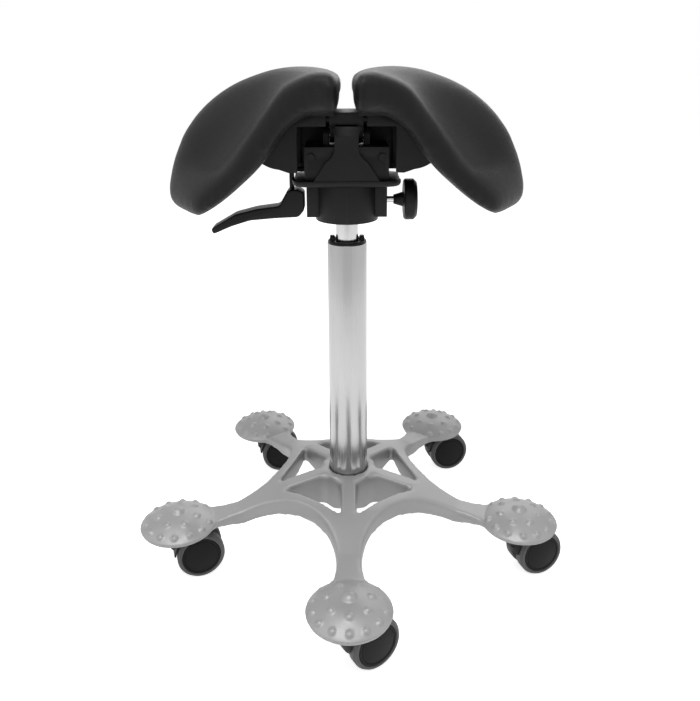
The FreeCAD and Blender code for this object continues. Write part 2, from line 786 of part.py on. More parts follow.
def copy_at(label, proto, *moves):
    obj = doc.addObject("Part::Feature", label)
    obj.Shape = proto.Shape.copy()
    spot = FreeCAD.Placement()
    for m in moves:
        spot = spot.multiply(m)
    obj.Placement = spot.multiply(proto.Placement)
    return node(label, obj)


for name, (arm, heading) in castor_turns.items():
    a = math.radians(arm)
    stand = FreeCAD.Placement(
        Vec(pad_reach.v * math.cos(a), pad_reach.v * math.sin(a), 0),
        FreeCAD.Rotation(Vec(0, 0, 1), heading))
    copy_at(f"castor_{name}_hood", hood_proto, stand)
    copy_at(f"castor_{name}_pins", pins_proto, stand)
    for side, sign in (("l", 1), ("r", -1)):
        wheel = FreeCAD.Placement(
            Vec(castor_trail.v, sign * wheel_gap.v, wheel_radius.v),
            FreeCAD.Rotation(Vec(1, 0, 0), -90 * sign))
        copy_at(f"castor_{name}_wheel_{side}", core_proto, stand, wheel)
        copy_at(f"castor_{name}_tread_{side}", tread_proto, stand, wheel)

# Mechanism: drum on the cone, plate, block with the tilt ears, and its front cover
drum = cylinder("drum", drum_radius, drum_top - drum_foot, z=drum_foot)
wings = box("wings", wing_half * 2, wing_depth, drum_top - wing_foot,
            x=-wing_half, y=-(wing_depth / 2), z=wing_foot)
block = box("block", block_half * 2, block_depth * 2, block_top - plate_top,
            x=-block_half, y=-block_depth, z=plate_top)
ear_in = carrier_half + 0.5
ears = []
for side, low in (("l", -(ear_in + ear_thick)), ("r", ear_in)):
    ears.append(box(f"ear_{side}", ear_thick, ear_round * 2, tilt_height - block_top,
                    x=low, y=-ear_round, z=block_top))
    ears.append(cylinder(f"ear_top_{side}", ear_round, ear_thick, x=low, z=tilt_height,
                         axis=(0, 1, 0), angle=90))
cone_bore = turned("cone_bore", [
    (0, drum_foot - 10),
    (cylinder_radius + seat_play, drum_foot - 10),
    (cylinder_radius + seat_play, drum_foot),
    (cylinder_radius - cone_taper + seat_play, plate_top),
    (cylinder_radius - cone_taper + seat_play, plate_top + 1),
    (0, plate_top + 1),
])
pin_x = lever_eye - lever_pivot
pin_reach = lever_slot / 2 + lever_pin_grip
ear_out = ear_in + ear_thick
slot = box("lever_slot", block_half + 13, lever_slot, lever_lift + lever_room,
           x=-(block_half + 1), y=-(lever_slot / 2), z=plate_top)
pin_hole = cylinder("lever_pin_hole", lever_pin_radius + seat_play, pin_reach * 2 + 4, x=pin_x,
                    y=-(pin_reach + 2), z=lever_height, axis=(1, 0, 0), angle=-90)
tilt_hole = cylinder("tilt_hole", tilt_pin_radius + seat_play, ear_out * 2 + 4,
                     x=-(ear_out + 2), z=tilt_height, axis=(0, 1, 0), angle=90)
spindle_hole = cylinder("spindle_hole", screw_radius + slide_play, spindle_grip + 4,
                        x=wing_half - spindle_grip - 2, z=knob_height, axis=(0, 1, 0), angle=90)
screw_x = block_half - screw_edge
screw_z = block_top - screw_below
screw_holes = [
    cylinder(f"screw_hole_{i}", screw_shank + seat_play, screw_depth + 3, x=x,
             y=-block_depth - 1, z=screw_z, axis=(1, 0, 0), angle=-90)
    for i, x in enumerate((-screw_x, screw_x))
]
node("mechanism_housing", cut(
    "mechanism_housing", fuse("housing_lump", drum, wings), cone_bore, spindle_hole))
node("mechanism_block", cut(
    "mechanism_block", fuse("block_lump", block, *ears),
    slot, pin_hole, tilt_hole, *screw_holes))
plate_body = padded("plate_body", "XY_Plane", [
    (plate_corner - plate_half, -plate_depth),
    (plate_half - plate_corner, -plate_depth, -plate_bow),
    (plate_half, -plate_end),
    (plate_half, plate_end, -plate_bow),
    (plate_half - plate_corner, plate_depth),
    (plate_corner - plate_half, plate_depth, -plate_bow),
    (-plate_half, plate_end),
    (-plate_half, -plate_end, -plate_bow),
], plate_thick, both=False)
place(plate_body, z=drum_top)
node("mechanism_plate", cut("mechanism_plate", plate_body, cone_bore))

cover_body = padded("cover_body", "XZ_Plane", [
    (-cover_foot_half, plate_top),
    (cover_foot_half, plate_top),
    (cover_knee_half, plate_top + cover_knee, 1.8),
    (cover_waist_half, block_top - 3),
    (cover_waist_half, cover_head - 2 - cover_flare, 1.0),
    (cover_head_half, cover_head - 2),
    (cover_head_half, cover_head),
    (-cover_head_half, cover_head),
    (-cover_head_half, cover_head - 2, 1.0),
    (-cover_waist_half, cover_head - 2 - cover_flare),
    (-cover_waist_half, block_top - 3, 1.8),
    (-cover_knee_half, plate_top + cover_knee),
], cover_face - block_depth, both=False)
place(cover_body, y=-block_depth)
node("mechanism_cover", cover_body)

screws = []
for i, x in enumerate((-screw_x, screw_x)):
    screws.append(cylinder(f"screw_head_{i}", screw_head, screw_cap, x=x,
                           y=-block_depth - screw_cap, z=screw_z, axis=(1, 0, 0), angle=-90))
    screws.append(cylinder(f"screw_shank_{i}", screw_shank, screw_depth, x=x, y=-block_depth,
                           z=screw_z, axis=(1, 0, 0), angle=-90))
screw_pairs = [fuse(f"screw_{i}", screws[2 * i], screws[2 * i + 1]) for i in (0, 1)]
screw_group = doc.addObject("Part::Compound", "cover_screws")
screw_group.Links = screw_pairs
node("cover_screws", screw_group)
node("lever_pin", cylinder("lever_pin", lever_pin_radius, pin_reach * 2, x=pin_x, y=-pin_reach,
                           z=lever_height, axis=(1, 0, 0), angle=-90))
node("tilt_pin", cylinder("tilt_pin", tilt_pin_radius, ear_out * 2, x=-ear_out,
                          z=tilt_height, axis=(0, 1, 0), angle=90))

# Height lever: a steel rod over the release button, with a moulded paddle.
# The paddle's outline starts at its root, beside the drum, and runs up and outwards.
rod_x = plate_half + lever_rod_radius + rod_gap


def from_rod(out, down, *rise):
    """A point of the paddle: outwards from the rod and down from the rod's height."""
    return (-(rod_x + out), lever_height - down, *rise)


paddle = padded("paddle", "XZ_Plane", [
    from_rod(-15.1, 30, 2.2),
    from_rod(-7.6, 23),
    from_rod(4.4, 24, -1.6),
    from_rod(15.4, 44.4, 2.2),
    from_rod(70.5, 54.2, 1.2),
    from_rod(lever_reach, 71.5, 1.6),
    from_rod(lever_reach - 2.7, 78.6, -1.1),
    from_rod(54.4, 60.9, -2.2),
    from_rod(-3.6, 58, 2.2),
    from_rod(-15.4, 46),
], lever_depth)
rod_socket = cylinder("rod_socket", lever_rod_radius + seat_play, lever_sink, x=-rod_x,
                      z=lever_height - lever_sink)
node("lever_paddle", cut("lever_paddle", paddle, rod_socket))
post = cylinder("lever_post", lever_rod_radius, lever_sink, x=-rod_x,
                z=lever_height - lever_sink)
elbow = doc.addObject("Part::Sphere", "lever_elbow")
elbow.setExpression("Radius", lever_rod_radius.s)
place(elbow, x=-rod_x, z=lever_height)
press = cylinder("lever_press", lever_rod_radius, rod_x + 3, x=-rod_x, z=lever_height,
                 axis=(0, 1, 0), angle=90)
eye = cylinder("lever_eye", lever_eye_radius, lever_slot - 1, x=pin_x,
               y=-((lever_slot - 1) / 2), z=lever_height, axis=(1, 0, 0), angle=-90)
eye_hole = cylinder("lever_eye_hole", lever_pin_radius + slide_play, lever_slot + 1, x=pin_x,
                    y=-((lever_slot + 1) / 2), z=lever_height, axis=(1, 0, 0), angle=-90)
node("lever_rod", cut("lever_rod", fuse("lever_rod_lump", post, elbow, press, eye), eye_hole))

# Hand knob with its spindle in the drum's side wing
neck_in = wing_half + knob_clear
knob_body = turned("knob_body", [
    (screw_radius + seat_play, neck_in),
    (knob_stem, neck_in),
    (knob_stem, knob_face),
    (knob_radius - 2, knob_face),
    (knob_radius, knob_face + 2),
    (knob_radius, knob_face + knob_thick - 4),
    (knob_radius - 4, knob_face + knob_thick),
    (0, knob_face + knob_thick),
    (0, knob_face + spindle_sink),
    (screw_radius + seat_play, knob_face + spindle_sink),
])
knob_body.Placement = FreeCAD.Placement(
    Vec(0, 0, knob_height.v), FreeCAD.Rotation(Vec(0, 1, 0), 90))
knob_body.setExpression("Placement.Base.z", knob_height.s)
node("hand_knob", knob_body)
spindle_in = wing_half - spindle_grip
node("knob_spindle", cylinder("knob_spindle", screw_radius,
                              knob_face + spindle_sink - 0.5 - spindle_in,
                              x=spindle_in, z=knob_height, axis=(0, 1, 0), angle=90))

# Tilt carrier with its two guide rails
carrier = box("carrier_block", carrier_half * 2, carrier_depth * 2, carrier_thick,
              x=-carrier_half, y=-carrier_depth, z=carrier_foot)
lugs = []
for side, low in (("l", -carrier_half), ("r", carrier_half - lug_thick)):
    lugs.append(box(f"lug_{side}", lug_thick, lug_round * 2, carrier_lift, x=low, y=-lug_round,
                    z=tilt_height))
    lugs.append(cylinder(f"lug_foot_{side}", lug_round, lug_thick, x=low, z=tilt_height,
                         axis=(0, 1, 0), angle=90))
lug_hole = cylinder("lug_hole", tilt_pin_radius + slide_play, carrier_half * 2 + 4,
                    x=-(carrier_half + 2), z=tilt_height, axis=(0, 1, 0), angle=90)
rail_lines = tuple(enumerate((-rail_spread, rail_spread)))
rail_holes = [
    cylinder(f"rail_hole_{i}", rail_radius + seat_play, carrier_half * 2 + 4,
             x=-(carrier_half + 2), y=y, z=rail_height, axis=(0, 1, 0), angle=90)
    for i, y in rail_lines
]
node("tilt_carrier", cut("tilt_carrier", fuse("carrier_lump", carrier, *lugs),
                         lug_hole, *rail_holes))
rails = doc.addObject("Part::Compound", "guide_rails")
rails.Links = [
    cylinder(f"rail_{i}", rail_radius, rail_half * 2, x=-rail_half, y=y, z=rail_height,
             axis=(0, 1, 0), angle=90)
    for i, y in rail_lines
]
node("guide_rails", rails)

# Seat brackets and pans, one for each half
pan_low = carrier_top + pan_clear
seat_level = pan_low + seat_crown


def mirrored(name, source):
    obj = doc.addObject("Part::Mirroring", name)
    obj.Source = source
    obj.Normal = Vec(1, 0, 0)
    obj.Base = Vec(0, 0, 0)
    return obj


bracket_block = box("bracket_block", bracket_out - bracket_in, bracket_depth * 2,
                    pan_low - bracket_foot, x=-bracket_out, y=-bracket_depth, z=bracket_foot)
gussets = []
gusset_low = pan_low - gusset_drop
for i, y in enumerate((gusset_thick / 2 - bracket_depth, bracket_depth - gusset_thick / 2)):
    side_plate = padded(f"gusset_{i}", "XZ_Plane", [
        (-bracket_in - 8, pan_low),
        (-bracket_in - 8, bracket_foot),
        (-bracket_out, bracket_foot),
        (-bracket_out, gusset_low + 3, 3),
        (4 - gusset_reach, gusset_low + 9, 1.5),
        (-gusset_reach, gusset_low + 15),
        (-pan_out, pan_low - 22),
        (-pan_out, pan_low),
    ], gusset_thick)
    place(side_plate, y=y)
    gussets.append(side_plate)
runner_holes = [
    cylinder(f"runner_hole_{i}", rail_radius + slide_play, bracket_out - bracket_in + 20,
             x=-bracket_out - 10, y=y, z=rail_height, axis=(0, 1, 0), angle=90)
    for i, y in rail_lines
]
bracket_left = cut("seat_bracket_left", fuse("bracket_lump", bracket_block, *gussets),
                   *runner_holes)
node("seat_bracket_left", bracket_left)
node("seat_bracket_right", mirrored("seat_bracket_right", bracket_left))
pan_left = box("seat_pan_left", pan_out - pan_in, pan_front + pan_back, pan_thick,
               x=-pan_out, y=-pan_front, z=pan_low)
node("seat_pan_left", pan_left)
node("seat_pan_right", mirrored("seat_pan_right", pan_left))
doc.recompute()

# Seat cushions: one closed outline per station, from the front to the back.
# Each row: distance from the middle, height from the ridge line.
SECTIONS = {
    "front": [(17, 2), (44, -5), (72, -18), (130, -84), (184, -142), (195, -156),
              (184, -168), (137, -135), (86, -80), (60, -48), (24, -39)],
    "middle": [(18, -2), (56, 2), (106, -8), (185, -63), (216, -138), (217, -160),
               (202, -170), (166, -100), (104, -53), (60, -42), (22, -42)],
    "back": [(17, -8), (58, -6), (106, -15), (172, -58), (208, -116), (210, -136),
             (193, -142), (152, -88), (98, -52), (58, -42), (22, -42)],
}
SECTION_REACH = 226.0
SECTION_DROP = 170.0
# The outlines pass the middle face by this much, and the middle cut trims them flat.
MIDDLE_TRIM = 2.0


def blended(one, two, share):
    return [
        (a[0] * (1 - share) + b[0] * share, a[1] * (1 - share) + b[1] * share)
        for a, b in zip(SECTIONS[one], SECTIONS[two])
    ]


def eased(share):
    """Smooth step from 0 to 1."""
    return share * share * (3 - 2 * share)


def station(points, y, lean, inset, pull):
    """Outline of the cushion at one station, drawn in by an inset share and a pull."""
    out = list(points)
    for i, j in ((0, 10), (1, 9), (2, 8), (3, 7), (4, 6)):
        a, b = points[i], points[j]
        out[i] = (a[0] + (b[0] - a[0]) * inset, a[1] + (b[1] - a[1]) * inset)
        out[j] = (b[0] + (a[0] - b[0]) * inset, b[1] + (a[1] - b[1]) * inset)
    back_x = points[3][0] - points[4][0]
    back_z = points[3][1] - points[4][1]
    far = math.hypot(back_x, back_z)
    for i in (4, 5, 6):
        out[i] = (out[i][0] + back_x / far * pull, out[i][1] + back_z / far * pull)
    k = seat_reach.v / SECTION_REACH
    drop = seat_drop.v / SECTION_DROP
    c = math.cos(math.radians(lean))
    w = math.sin(math.radians(lean))

    def at(p):
        s = p[0] * k
        return Vec(-s * c, y + s * w, seat_level.v + p[1] * drop)

    inner = (seat_gap.v - MIDDLE_TRIM + pull) / (k * c)
    top = (out[0][0] + pull, out[0][1])
    low = (out[10][0] + pull, out[10][1])
    b = (inner, top[1] - 14 + inset * 12)
    bm = (inner + (top[0] - inner) * 0.28, top[1] - 4)
    a = (inner, low[1] + 11 - inset * 8)
    am = (inner + (low[0] - inner) * 0.28, low[1] + 3)
    edges = [
        Part.LineSegment(at(a), at(b)),
        Part.Arc(at(b), at(bm), at(top)),
        Part.Arc(at(top), at(out[1]), at(out[2])),
        Part.Arc(at(out[2]), at(out[3]), at(out[4])),
        Part.Arc(at(out[4]), at(out[5]), at(out[6])),
        Part.Arc(at(out[6]), at(out[7]), at(out[8])),
        Part.Arc(at(out[8]), at(out[9]), at(low)),
        Part.Arc(at(low), at(am), at(a)),
    ]
    return Part.Wire([e.toShape() for e in edges])


def along(share):
    """Outline and lean of the cushion's body, from its front at 0 to its back at 1."""
    if share < 0.45:
        return blended("front", "middle", eased(share / 0.45)), 25 - 21 * eased(share / 0.45)
    back = (share - 0.45) / 0.55
    return blended("middle", "back", eased(back)), 4 - 17 * eased(back)


front_y = -seat_front.v
back_y = seat_back.v
END_DEPTH = 14.0
END_STEPS = ((1.0, 0.18, 5.5), (0.72, 0.12, 3.4), (0.35, 0.04, 1.2))
BODY_STATIONS = 9
stations = []
for reach, inset, pull in END_STEPS:
    points, lean = along(0.0)
    stations.append(station(points, front_y + END_DEPTH * (1 - reach), lean, inset, pull))
for i in range(BODY_STATIONS):
    share = i / (BODY_STATIONS - 1)
    points, lean = along(share)
    y = front_y + END_DEPTH + (back_y - front_y - 2 * END_DEPTH) * share
    stations.append(station(points, y, lean, 0.0, 0.0))
for reach, inset, pull in reversed(END_STEPS):
    points, lean = along(1.0)
    stations.append(station(points, back_y - END_DEPTH * (1 - reach), lean, inset, pull))
cushion = Part.makeLoft(stations, True, False)
middle_cut = Part.makeBox(60, 500, 200, Vec(-seat_gap.v, -250, seat_level.v - 120))
cushion = cushion.cut(middle_cut)
cushion = cushion.cut(pan_left.Shape)
cushion = cushion.cut(bracket_left.Shape)
if len(cushion.Solids) == 1:
    cushion = cushion.Solids[0]
cushion_left = feature("seat_pad_left", cushion)
node("seat_pad_left", cushion_left)
node("seat_pad_right", mirrored("seat_pad_right", cushion_left))

doc.recompute()
bad = [o.Name for o in doc.Objects if {"Invalid", "Error"} & set(o.State)]
if bad:
    raise RuntimeError(f"failed objects: {bad}")
os.makedirs("parts", exist_ok=True)
for label, obj in nodes.items():
    shape = obj.Shape
    if shape.isNull() or not shape.isValid() or not shape.Solids:
        raise RuntimeError(f"{label} is not a valid solid")
for label, obj in nodes.items():
    obj.Shape.exportStep(f"parts/{label}.step")
print(len(nodes), "nodes,", {k: len(o.Shape.Solids) for k, o in nodes.items()
                             if len(o.Shape.Solids) > 1})
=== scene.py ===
"""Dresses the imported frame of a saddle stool: cushions, casting, column, mechanism and castors."""

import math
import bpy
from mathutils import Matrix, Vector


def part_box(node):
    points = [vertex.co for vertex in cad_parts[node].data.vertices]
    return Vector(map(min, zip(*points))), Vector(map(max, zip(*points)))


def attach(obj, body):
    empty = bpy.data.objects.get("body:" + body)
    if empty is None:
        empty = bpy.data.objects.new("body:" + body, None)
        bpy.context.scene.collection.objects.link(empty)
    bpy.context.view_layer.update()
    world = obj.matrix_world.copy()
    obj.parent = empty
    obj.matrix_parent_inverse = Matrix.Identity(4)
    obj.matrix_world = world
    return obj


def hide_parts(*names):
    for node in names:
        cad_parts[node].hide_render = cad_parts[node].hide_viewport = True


bl_info = {
    "name": "Saddle stool",
    "version": (1, 0, 0),
    "blender": (4, 5, 0),
    "location": "3D View > Sidebar > Stool",
    "description": "Dresses the packed frame of a saddle stool piece by piece",
    "category": "Object",
}

import bmesh
import bpy
from bpy.props import FloatProperty, FloatVectorProperty, IntProperty, PointerProperty
from mathutils import Matrix, Vector

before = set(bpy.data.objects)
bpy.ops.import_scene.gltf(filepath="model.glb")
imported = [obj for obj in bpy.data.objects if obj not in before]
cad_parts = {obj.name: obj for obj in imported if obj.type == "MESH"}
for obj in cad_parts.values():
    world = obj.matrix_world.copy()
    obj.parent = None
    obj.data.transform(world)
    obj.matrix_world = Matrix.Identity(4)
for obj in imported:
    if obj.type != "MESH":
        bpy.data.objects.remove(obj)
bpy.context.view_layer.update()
INNER_STEEL = (
    "bearing_washer_lower",
    "bearing_washer_upper",
    "bearing_balls",
    "piston_rod",
    "release_button",
)
CASTORS = ("front", "front_right", "back_right", "back_left", "front_left")
SIDES = ("left", "right")

# Height lever's paddle: millimetres outwards from its rod and down from the rod's top bend
PADDLE = (
    (-15.1, 27.0),
    (-7.6, 23.0),
    (4.4, 24.0),
    (15.4, 43.6),
    (44.0, 47.4),
    (70.5, 54.2),
    (100.4, 71.5),
    (97.7, 78.6),
    (75.0, 68.8),
    (52.0, 61.6),
    (22.0, 59.0),
    (-8.0, 57.6),
    (-15.4, 49.0),
)
LEVER_ROD_RADIUS = 0.003
LEVER_BEND_DROP = 0.0055

# Windows between the arms: turns in degrees, and corners along and across a window in metres
ARM_STEP = 72
FIRST_ARM = -90
FIRST_WINDOW = -54
WINDOW_TIP = (0.0815, 0.0470)
WINDOW_INNER = (0.0350, 0.0125)
CORNER_REACH = 0.008

# Bumps on a pad: places in the two rings, and the outer places taken on each side of the front
INNER_PLACES = 7
OUTER_PLACES = 14
OUTER_TAKEN = 6

# Cushions: parts of the lower end's height, with the passes that smooth them
SIDE_DROP = 0.18
END_ROUNDS = ((0.16, 8), (0.3, 10), (0.5, 14))

# Frames of cloth that a cushion swells for
CLOTH_FRAMES = 20

# Metres: points closer than the first are one, and places closer than the second are the same
DOUBLES = 0.00001
TINY = 0.0001

# Painted and moulded finishes: colour, metallic, roughness and its spread, bump, grain size,
# tone, edge wear and specular level
GRAINED = {
    "Cast paint": ("casting", 0.35, 0.45, 0.05, 0.1, 1500, 0.03, 0.25, 0.5),
    "Black steel": ("black_steel", 0.2, 0.5, 0.06, 0.1, 1200, 0.1, 0.4, 0.2),
    "Black plastic": ("plastic", 0, 0.46, 0.06, 0.16, 1100, 0.1, 0.25, 0.2),
    "Wheel plastic": ("wheel", 0, 0.42, 0.05, 0.1, 900, 0.1, 0.3, 0.12),
    "Grey tread": ("tread", 0, 0.6, 0.06, 0.15, 1100, 0.1, 0.2, 0.35),
    "Black rubber": ("rubber", 0, 0.75, 0.06, 0.2, 1000, 0.1, 0.1, 0.5),
}

# Bare steel: colour, roughness and its spread, and bump
BRUSHED = {
    "Satin steel": ("steel", 0.24, 0.04, 0.05),
    "Bright steel": ("bright", 0.15, 0.03, 0.03),
}


# Selecting and shaping, as by hand


def deselect():
    """Leaves edit mode and lets go of everything."""
    if bpy.context.object and bpy.context.object.mode != "OBJECT":
        bpy.ops.object.mode_set(mode="OBJECT")
    bpy.ops.object.select_all(action="DESELECT")


def take(piece):
    """Selects one piece alone and makes it active."""
    deselect()
    piece.select_set(True)
    bpy.context.view_layer.objects.active = piece


def edit(piece):
    """Opens a piece in edit mode with nothing selected."""
    take(piece)
    bpy.ops.object.mode_set(mode="EDIT")
    bpy.ops.mesh.select_all(action="DESELECT")


def pick(piece, mode, parts, test):
    """Selects the points, edges or faces that pass the test."""
    bpy.ops.mesh.select_all(action="DESELECT")
    bpy.ops.mesh.select_mode(type=mode)
    mesh = bmesh.from_edit_mesh(piece.data)
    for part in getattr(mesh, parts):
        part.select_set(bool(test(part)))
    if mode == "VERT":
        mesh.select_flush_mode()
    bmesh.update_edit_mesh(piece.data)


def pick_faces(piece, test):
    """Selects the faces whose centre and normal pass the test."""
    pick(piece, "FACE", "faces", lambda face: test(face.calc_center_median(), face.normal))


def pick_edges(piece, test):
    """Selects the edges whose two ends pass the test."""
    pick(piece, "EDGE", "edges", lambda edge: test(edge.verts[0].co, edge.verts[1].co))


def pick_points(piece, test):
    """Selects the points that pass the test."""
    pick(piece, "VERT", "verts", lambda point: test(point.co))


def modify(piece, kind, **settings):
    """Adds a modifier and applies it."""
    take(piece)
    modifier = piece.modifiers.new(kind.title(), kind)
    for key, value in settings.items():
        setattr(modifier, key, value)
    bpy.ops.object.modifier_apply(modifier=modifier.name)


def place(piece, matrix):
    """Puts a finished mesh where it belongs and leaves its object at the origin."""
    take(piece)
    piece.matrix_world = matrix
    bpy.ops.object.transform_apply(location=True, rotation=True, scale=True)


def outward(piece):
    """Merges doubles and turns every face outwards."""
    edit(piece)
    bpy.ops.mesh.select_all(action="SELECT")
    bpy.ops.mesh.remove_doubles(threshold=DOUBLES)
    bpy.ops.mesh.normals_make_consistent(inside=False)
    deselect()


def rounded(piece, width, segments=3, angle=30):
    """Rounds the sharp edges and shades the rest smooth."""
    modify(
        piece,
        "BEVEL",
        width=width,
        segments=segments,
        limit_method="ANGLE",
        angle_limit=math.radians(angle),
        miter_outer="MITER_ARC",
    )
    smooth(piece, angle)


def smooth(piece, angle=30):
    """Shades a piece smooth, with creases only over the angle."""
    take(piece)
    bpy.ops.object.shade_smooth_by_angle(angle=math.radians(angle))


def draw(name, points):
    """Draws a chain of points by extruding one vertex."""
    deselect()
    bpy.ops.mesh.primitive_plane_add(size=0.001, location=points[0])
    piece = bpy.context.object
    piece.name = name
    bpy.ops.object.transform_apply(location=True, rotation=True, scale=True)
    edit(piece)
    bpy.ops.mesh.select_mode(type="VERT")
    bpy.ops.mesh.select_all(action="SELECT")
    bpy.ops.mesh.merge(type="CENTER")
    for start, end in zip(points, points[1:]):
        step = Vector(end) - Vector(start)
        bpy.ops.mesh.extrude_vertices_move(TRANSFORM_OT_translate={"value": step})
    return piece


def lathe(name, profile, steps=64):
    """Draws a closed profile of (radius, height) and spins it round Z."""
    points = [Vector((radius, 0, height)) for radius, height in profile]
    piece = draw(name, points + points[:1])
    bpy.ops.mesh.select_all(action="SELECT")
    bpy.ops.mesh.spin(steps=steps, angle=math.tau, center=(0, 0, 0), axis=(0, 0, 1))
    outward(piece)
    return piece


def slab(name, outline, thickness):
    """Draws a closed outline in its plane, fills it and extrudes it."""
    piece = draw(name, outline + outline[:1])
    bpy.ops.mesh.select_all(action="SELECT")
    bpy.ops.mesh.remove_doubles(threshold=DOUBLES)
    bpy.ops.mesh.edge_face_add()
    bpy.ops.mesh.extrude_region_move(TRANSFORM_OT_translate={"value": thickness})
    outward(piece)
    return piece


def flattened(node, name):
    """Copies a CAD node's mesh and merges its triangles into flat faces."""
    piece = copied(node, name)
    modify(piece, "DECIMATE", decimate_type="DISSOLVE", angle_limit=math.radians(1))
    return piece


def refined(node, name, width, segments=2):
    """Copies a CAD node's mesh with flat faces and rounds its edges."""
    piece = flattened(node, name)
    rounded(piece, width, segments)
    return piece


def copied(node, name):
    """Copies a CAD node's mesh and merges its doubles."""
    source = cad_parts[node]
    piece = bpy.data.objects.new(name, source.data.copy())
    piece.data.materials.clear()
    bpy.context.scene.collection.objects.link(piece)
    edit(piece)
    bpy.ops.mesh.select_all(action="SELECT")
    bpy.ops.mesh.remove_doubles(threshold=DOUBLES)
    bpy.ops.mesh.customdata_custom_splitnormals_clear()
    deselect()
    return piece


def seat(piece, finish, slot, body, *nodes):
    """Gives a finished piece its finish and body, and hides the CAD nodes that it stands for; the
    slot is not used.
    """
    piece.data.materials.clear()
    piece.data.materials.append(finish)
    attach(piece, body)
    if nodes:
        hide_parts(*nodes)


def paint(node, finish):
    """Gives a CAD node a better finish."""
    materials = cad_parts[node].data.materials
    materials.clear()
    materials.append(finish)


def middle(node):
    """The middle of a CAD node's box."""
    low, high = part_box(node)
    return (low + high) / 2


def soften(piece, test, rounds):
    """Smooths the points that pass the test."""
    edit(piece)
    pick_points(piece, test)
    bpy.ops.mesh.vertices_smooth(factor=0.5, repeat=rounds)
    deselect()


def join(pieces):
    """Joins pieces into the first of them."""
    take(pieces[0])
    for piece in pieces[1:]:
        piece.select_set(True)
    bpy.ops.object.join()
    return pieces[0]


def twin(piece, matrix):
    """Copies a piece with a mesh of its own and puts the copy in its place."""
    take(piece)
    bpy.ops.object.duplicate()
    other = bpy.context.object
    place(other, matrix)
    return other


# Shader groups that the finishes share


def shader_group(name, inputs, outputs):
    """Starts a node group with named float and vector sockets."""
    tree = bpy.data.node_groups.new(name, "ShaderNodeTree")
    for label, kind, value in inputs:
        socket = tree.interface.new_socket(name=label, in_out="INPUT", socket_type=kind)
        if value is not None:
            socket.default_value = value
    for label, kind in outputs:
        tree.interface.new_socket(name=label, in_out="OUTPUT", socket_type=kind)
    return tree, tree.nodes.new("NodeGroupInput"), tree.nodes.new("NodeGroupOutput")


def add_node(tree, kind, **settings):
    """Adds a node, with its settings and the values of its sockets."""
    made = tree.nodes.new(kind)
    for key, value in settings.items():
        if hasattr(made, key):
            setattr(made, key, value)
        else:
            made.inputs[key.replace("_", " ")].default_value = value
    return made


def wire(tree, *links):
    """Links sockets, each from a node's output to another node's input."""
    for source, output, target, socket in links:
        tree.links.new(source.outputs[output], target.inputs[socket])


def grain_group():
    """Fine grain: fine noise as a height, with a slow change of tone."""
    tree, given, out = shader_group(
        "Fine grain",
        [
            ("Vector", "NodeSocketVector", None),
            ("Size", "NodeSocketFloat", 900.0),
            ("Tone size", "NodeSocketFloat", 14.0),
            ("Tone low", "NodeSocketFloat", 0.9),
            ("Tone high", "NodeSocketFloat", 1.1),
        ],
        [("Height", "NodeSocketFloat"), ("Tone", "NodeSocketFloat")],
    )
    fine = add_node(tree, "ShaderNodeTexNoise", Detail=4.0, Roughness=0.6)
    slow = add_node(tree, "ShaderNodeTexNoise", Detail=3.0, Roughness=0.5)
    spread = add_node(tree, "ShaderNodeMapRange", From_Min=0.3, From_Max=0.7)
    wire(
        tree,
        (given, "Vector", fine, "Vector"),
        (given, "Vector", slow, "Vector"),
        (given, "Size", fine, "Scale"),
        (given, "Tone size", slow, "Scale"),
        (slow, "Fac", spread, "Value"),
        (given, "Tone low", spread, "To Min"),
        (given, "Tone high", spread, "To Max"),
        (fine, "Fac", out, "Height"),
        (spread, "Result", out, "Tone"),
    )
    return tree


def leather_group():
    """Leather grain: soft cells with fine pores between them."""
    tree, given, out = shader_group(
        "Leather grain",
        [("Vector", "NodeSocketVector", None), ("Size", "NodeSocketFloat", 620.0)],
        [("Height", "NodeSocketFloat"), ("Crease", "NodeSocketFloat")],
    )
    cells = add_node(tree, "ShaderNodeTexVoronoi", feature="DISTANCE_TO_EDGE")
    pores = add_node(tree, "ShaderNodeTexNoise", Detail=3.0, Roughness=0.6)
    bend = add_node(tree, "ShaderNodeTexNoise", Scale=60.0, Detail=1.0)
    warp = add_node(tree, "ShaderNodeVectorMath", operation="MULTIPLY_ADD")
    warp.inputs[1].default_value = (0.004, 0.004, 0.004)
    double = add_node(tree, "ShaderNodeMath", operation="MULTIPLY")
    double.inputs[1].default_value = 2.6
    edge = add_node(tree, "ShaderNodeMapRange", interpolation_type="SMOOTHSTEP", From_Max=0.32)
    total = add_node(tree, "ShaderNodeMath", operation="MULTIPLY_ADD")
    total.inputs[1].default_value = 0.25
    wire(
        tree,
        (given, "Vector", bend, "Vector"),
        (bend, "Color", warp, 0),
        (given, "Vector", warp, 2),
        (warp, "Vector", cells, "Vector"),
        (warp, "Vector", pores, "Vector"),
        (given, "Size", cells, "Scale"),
        (given, "Size", double, 0),
        (double, 0, pores, "Scale"),
        (cells, "Distance", edge, "Value"),
        (pores, "Fac", total, 0),
        (edge, "Result", total, 2),
        (total, 0, out, "Height"),
        (edge, "Result", out, "Crease"),
    )
    return tree


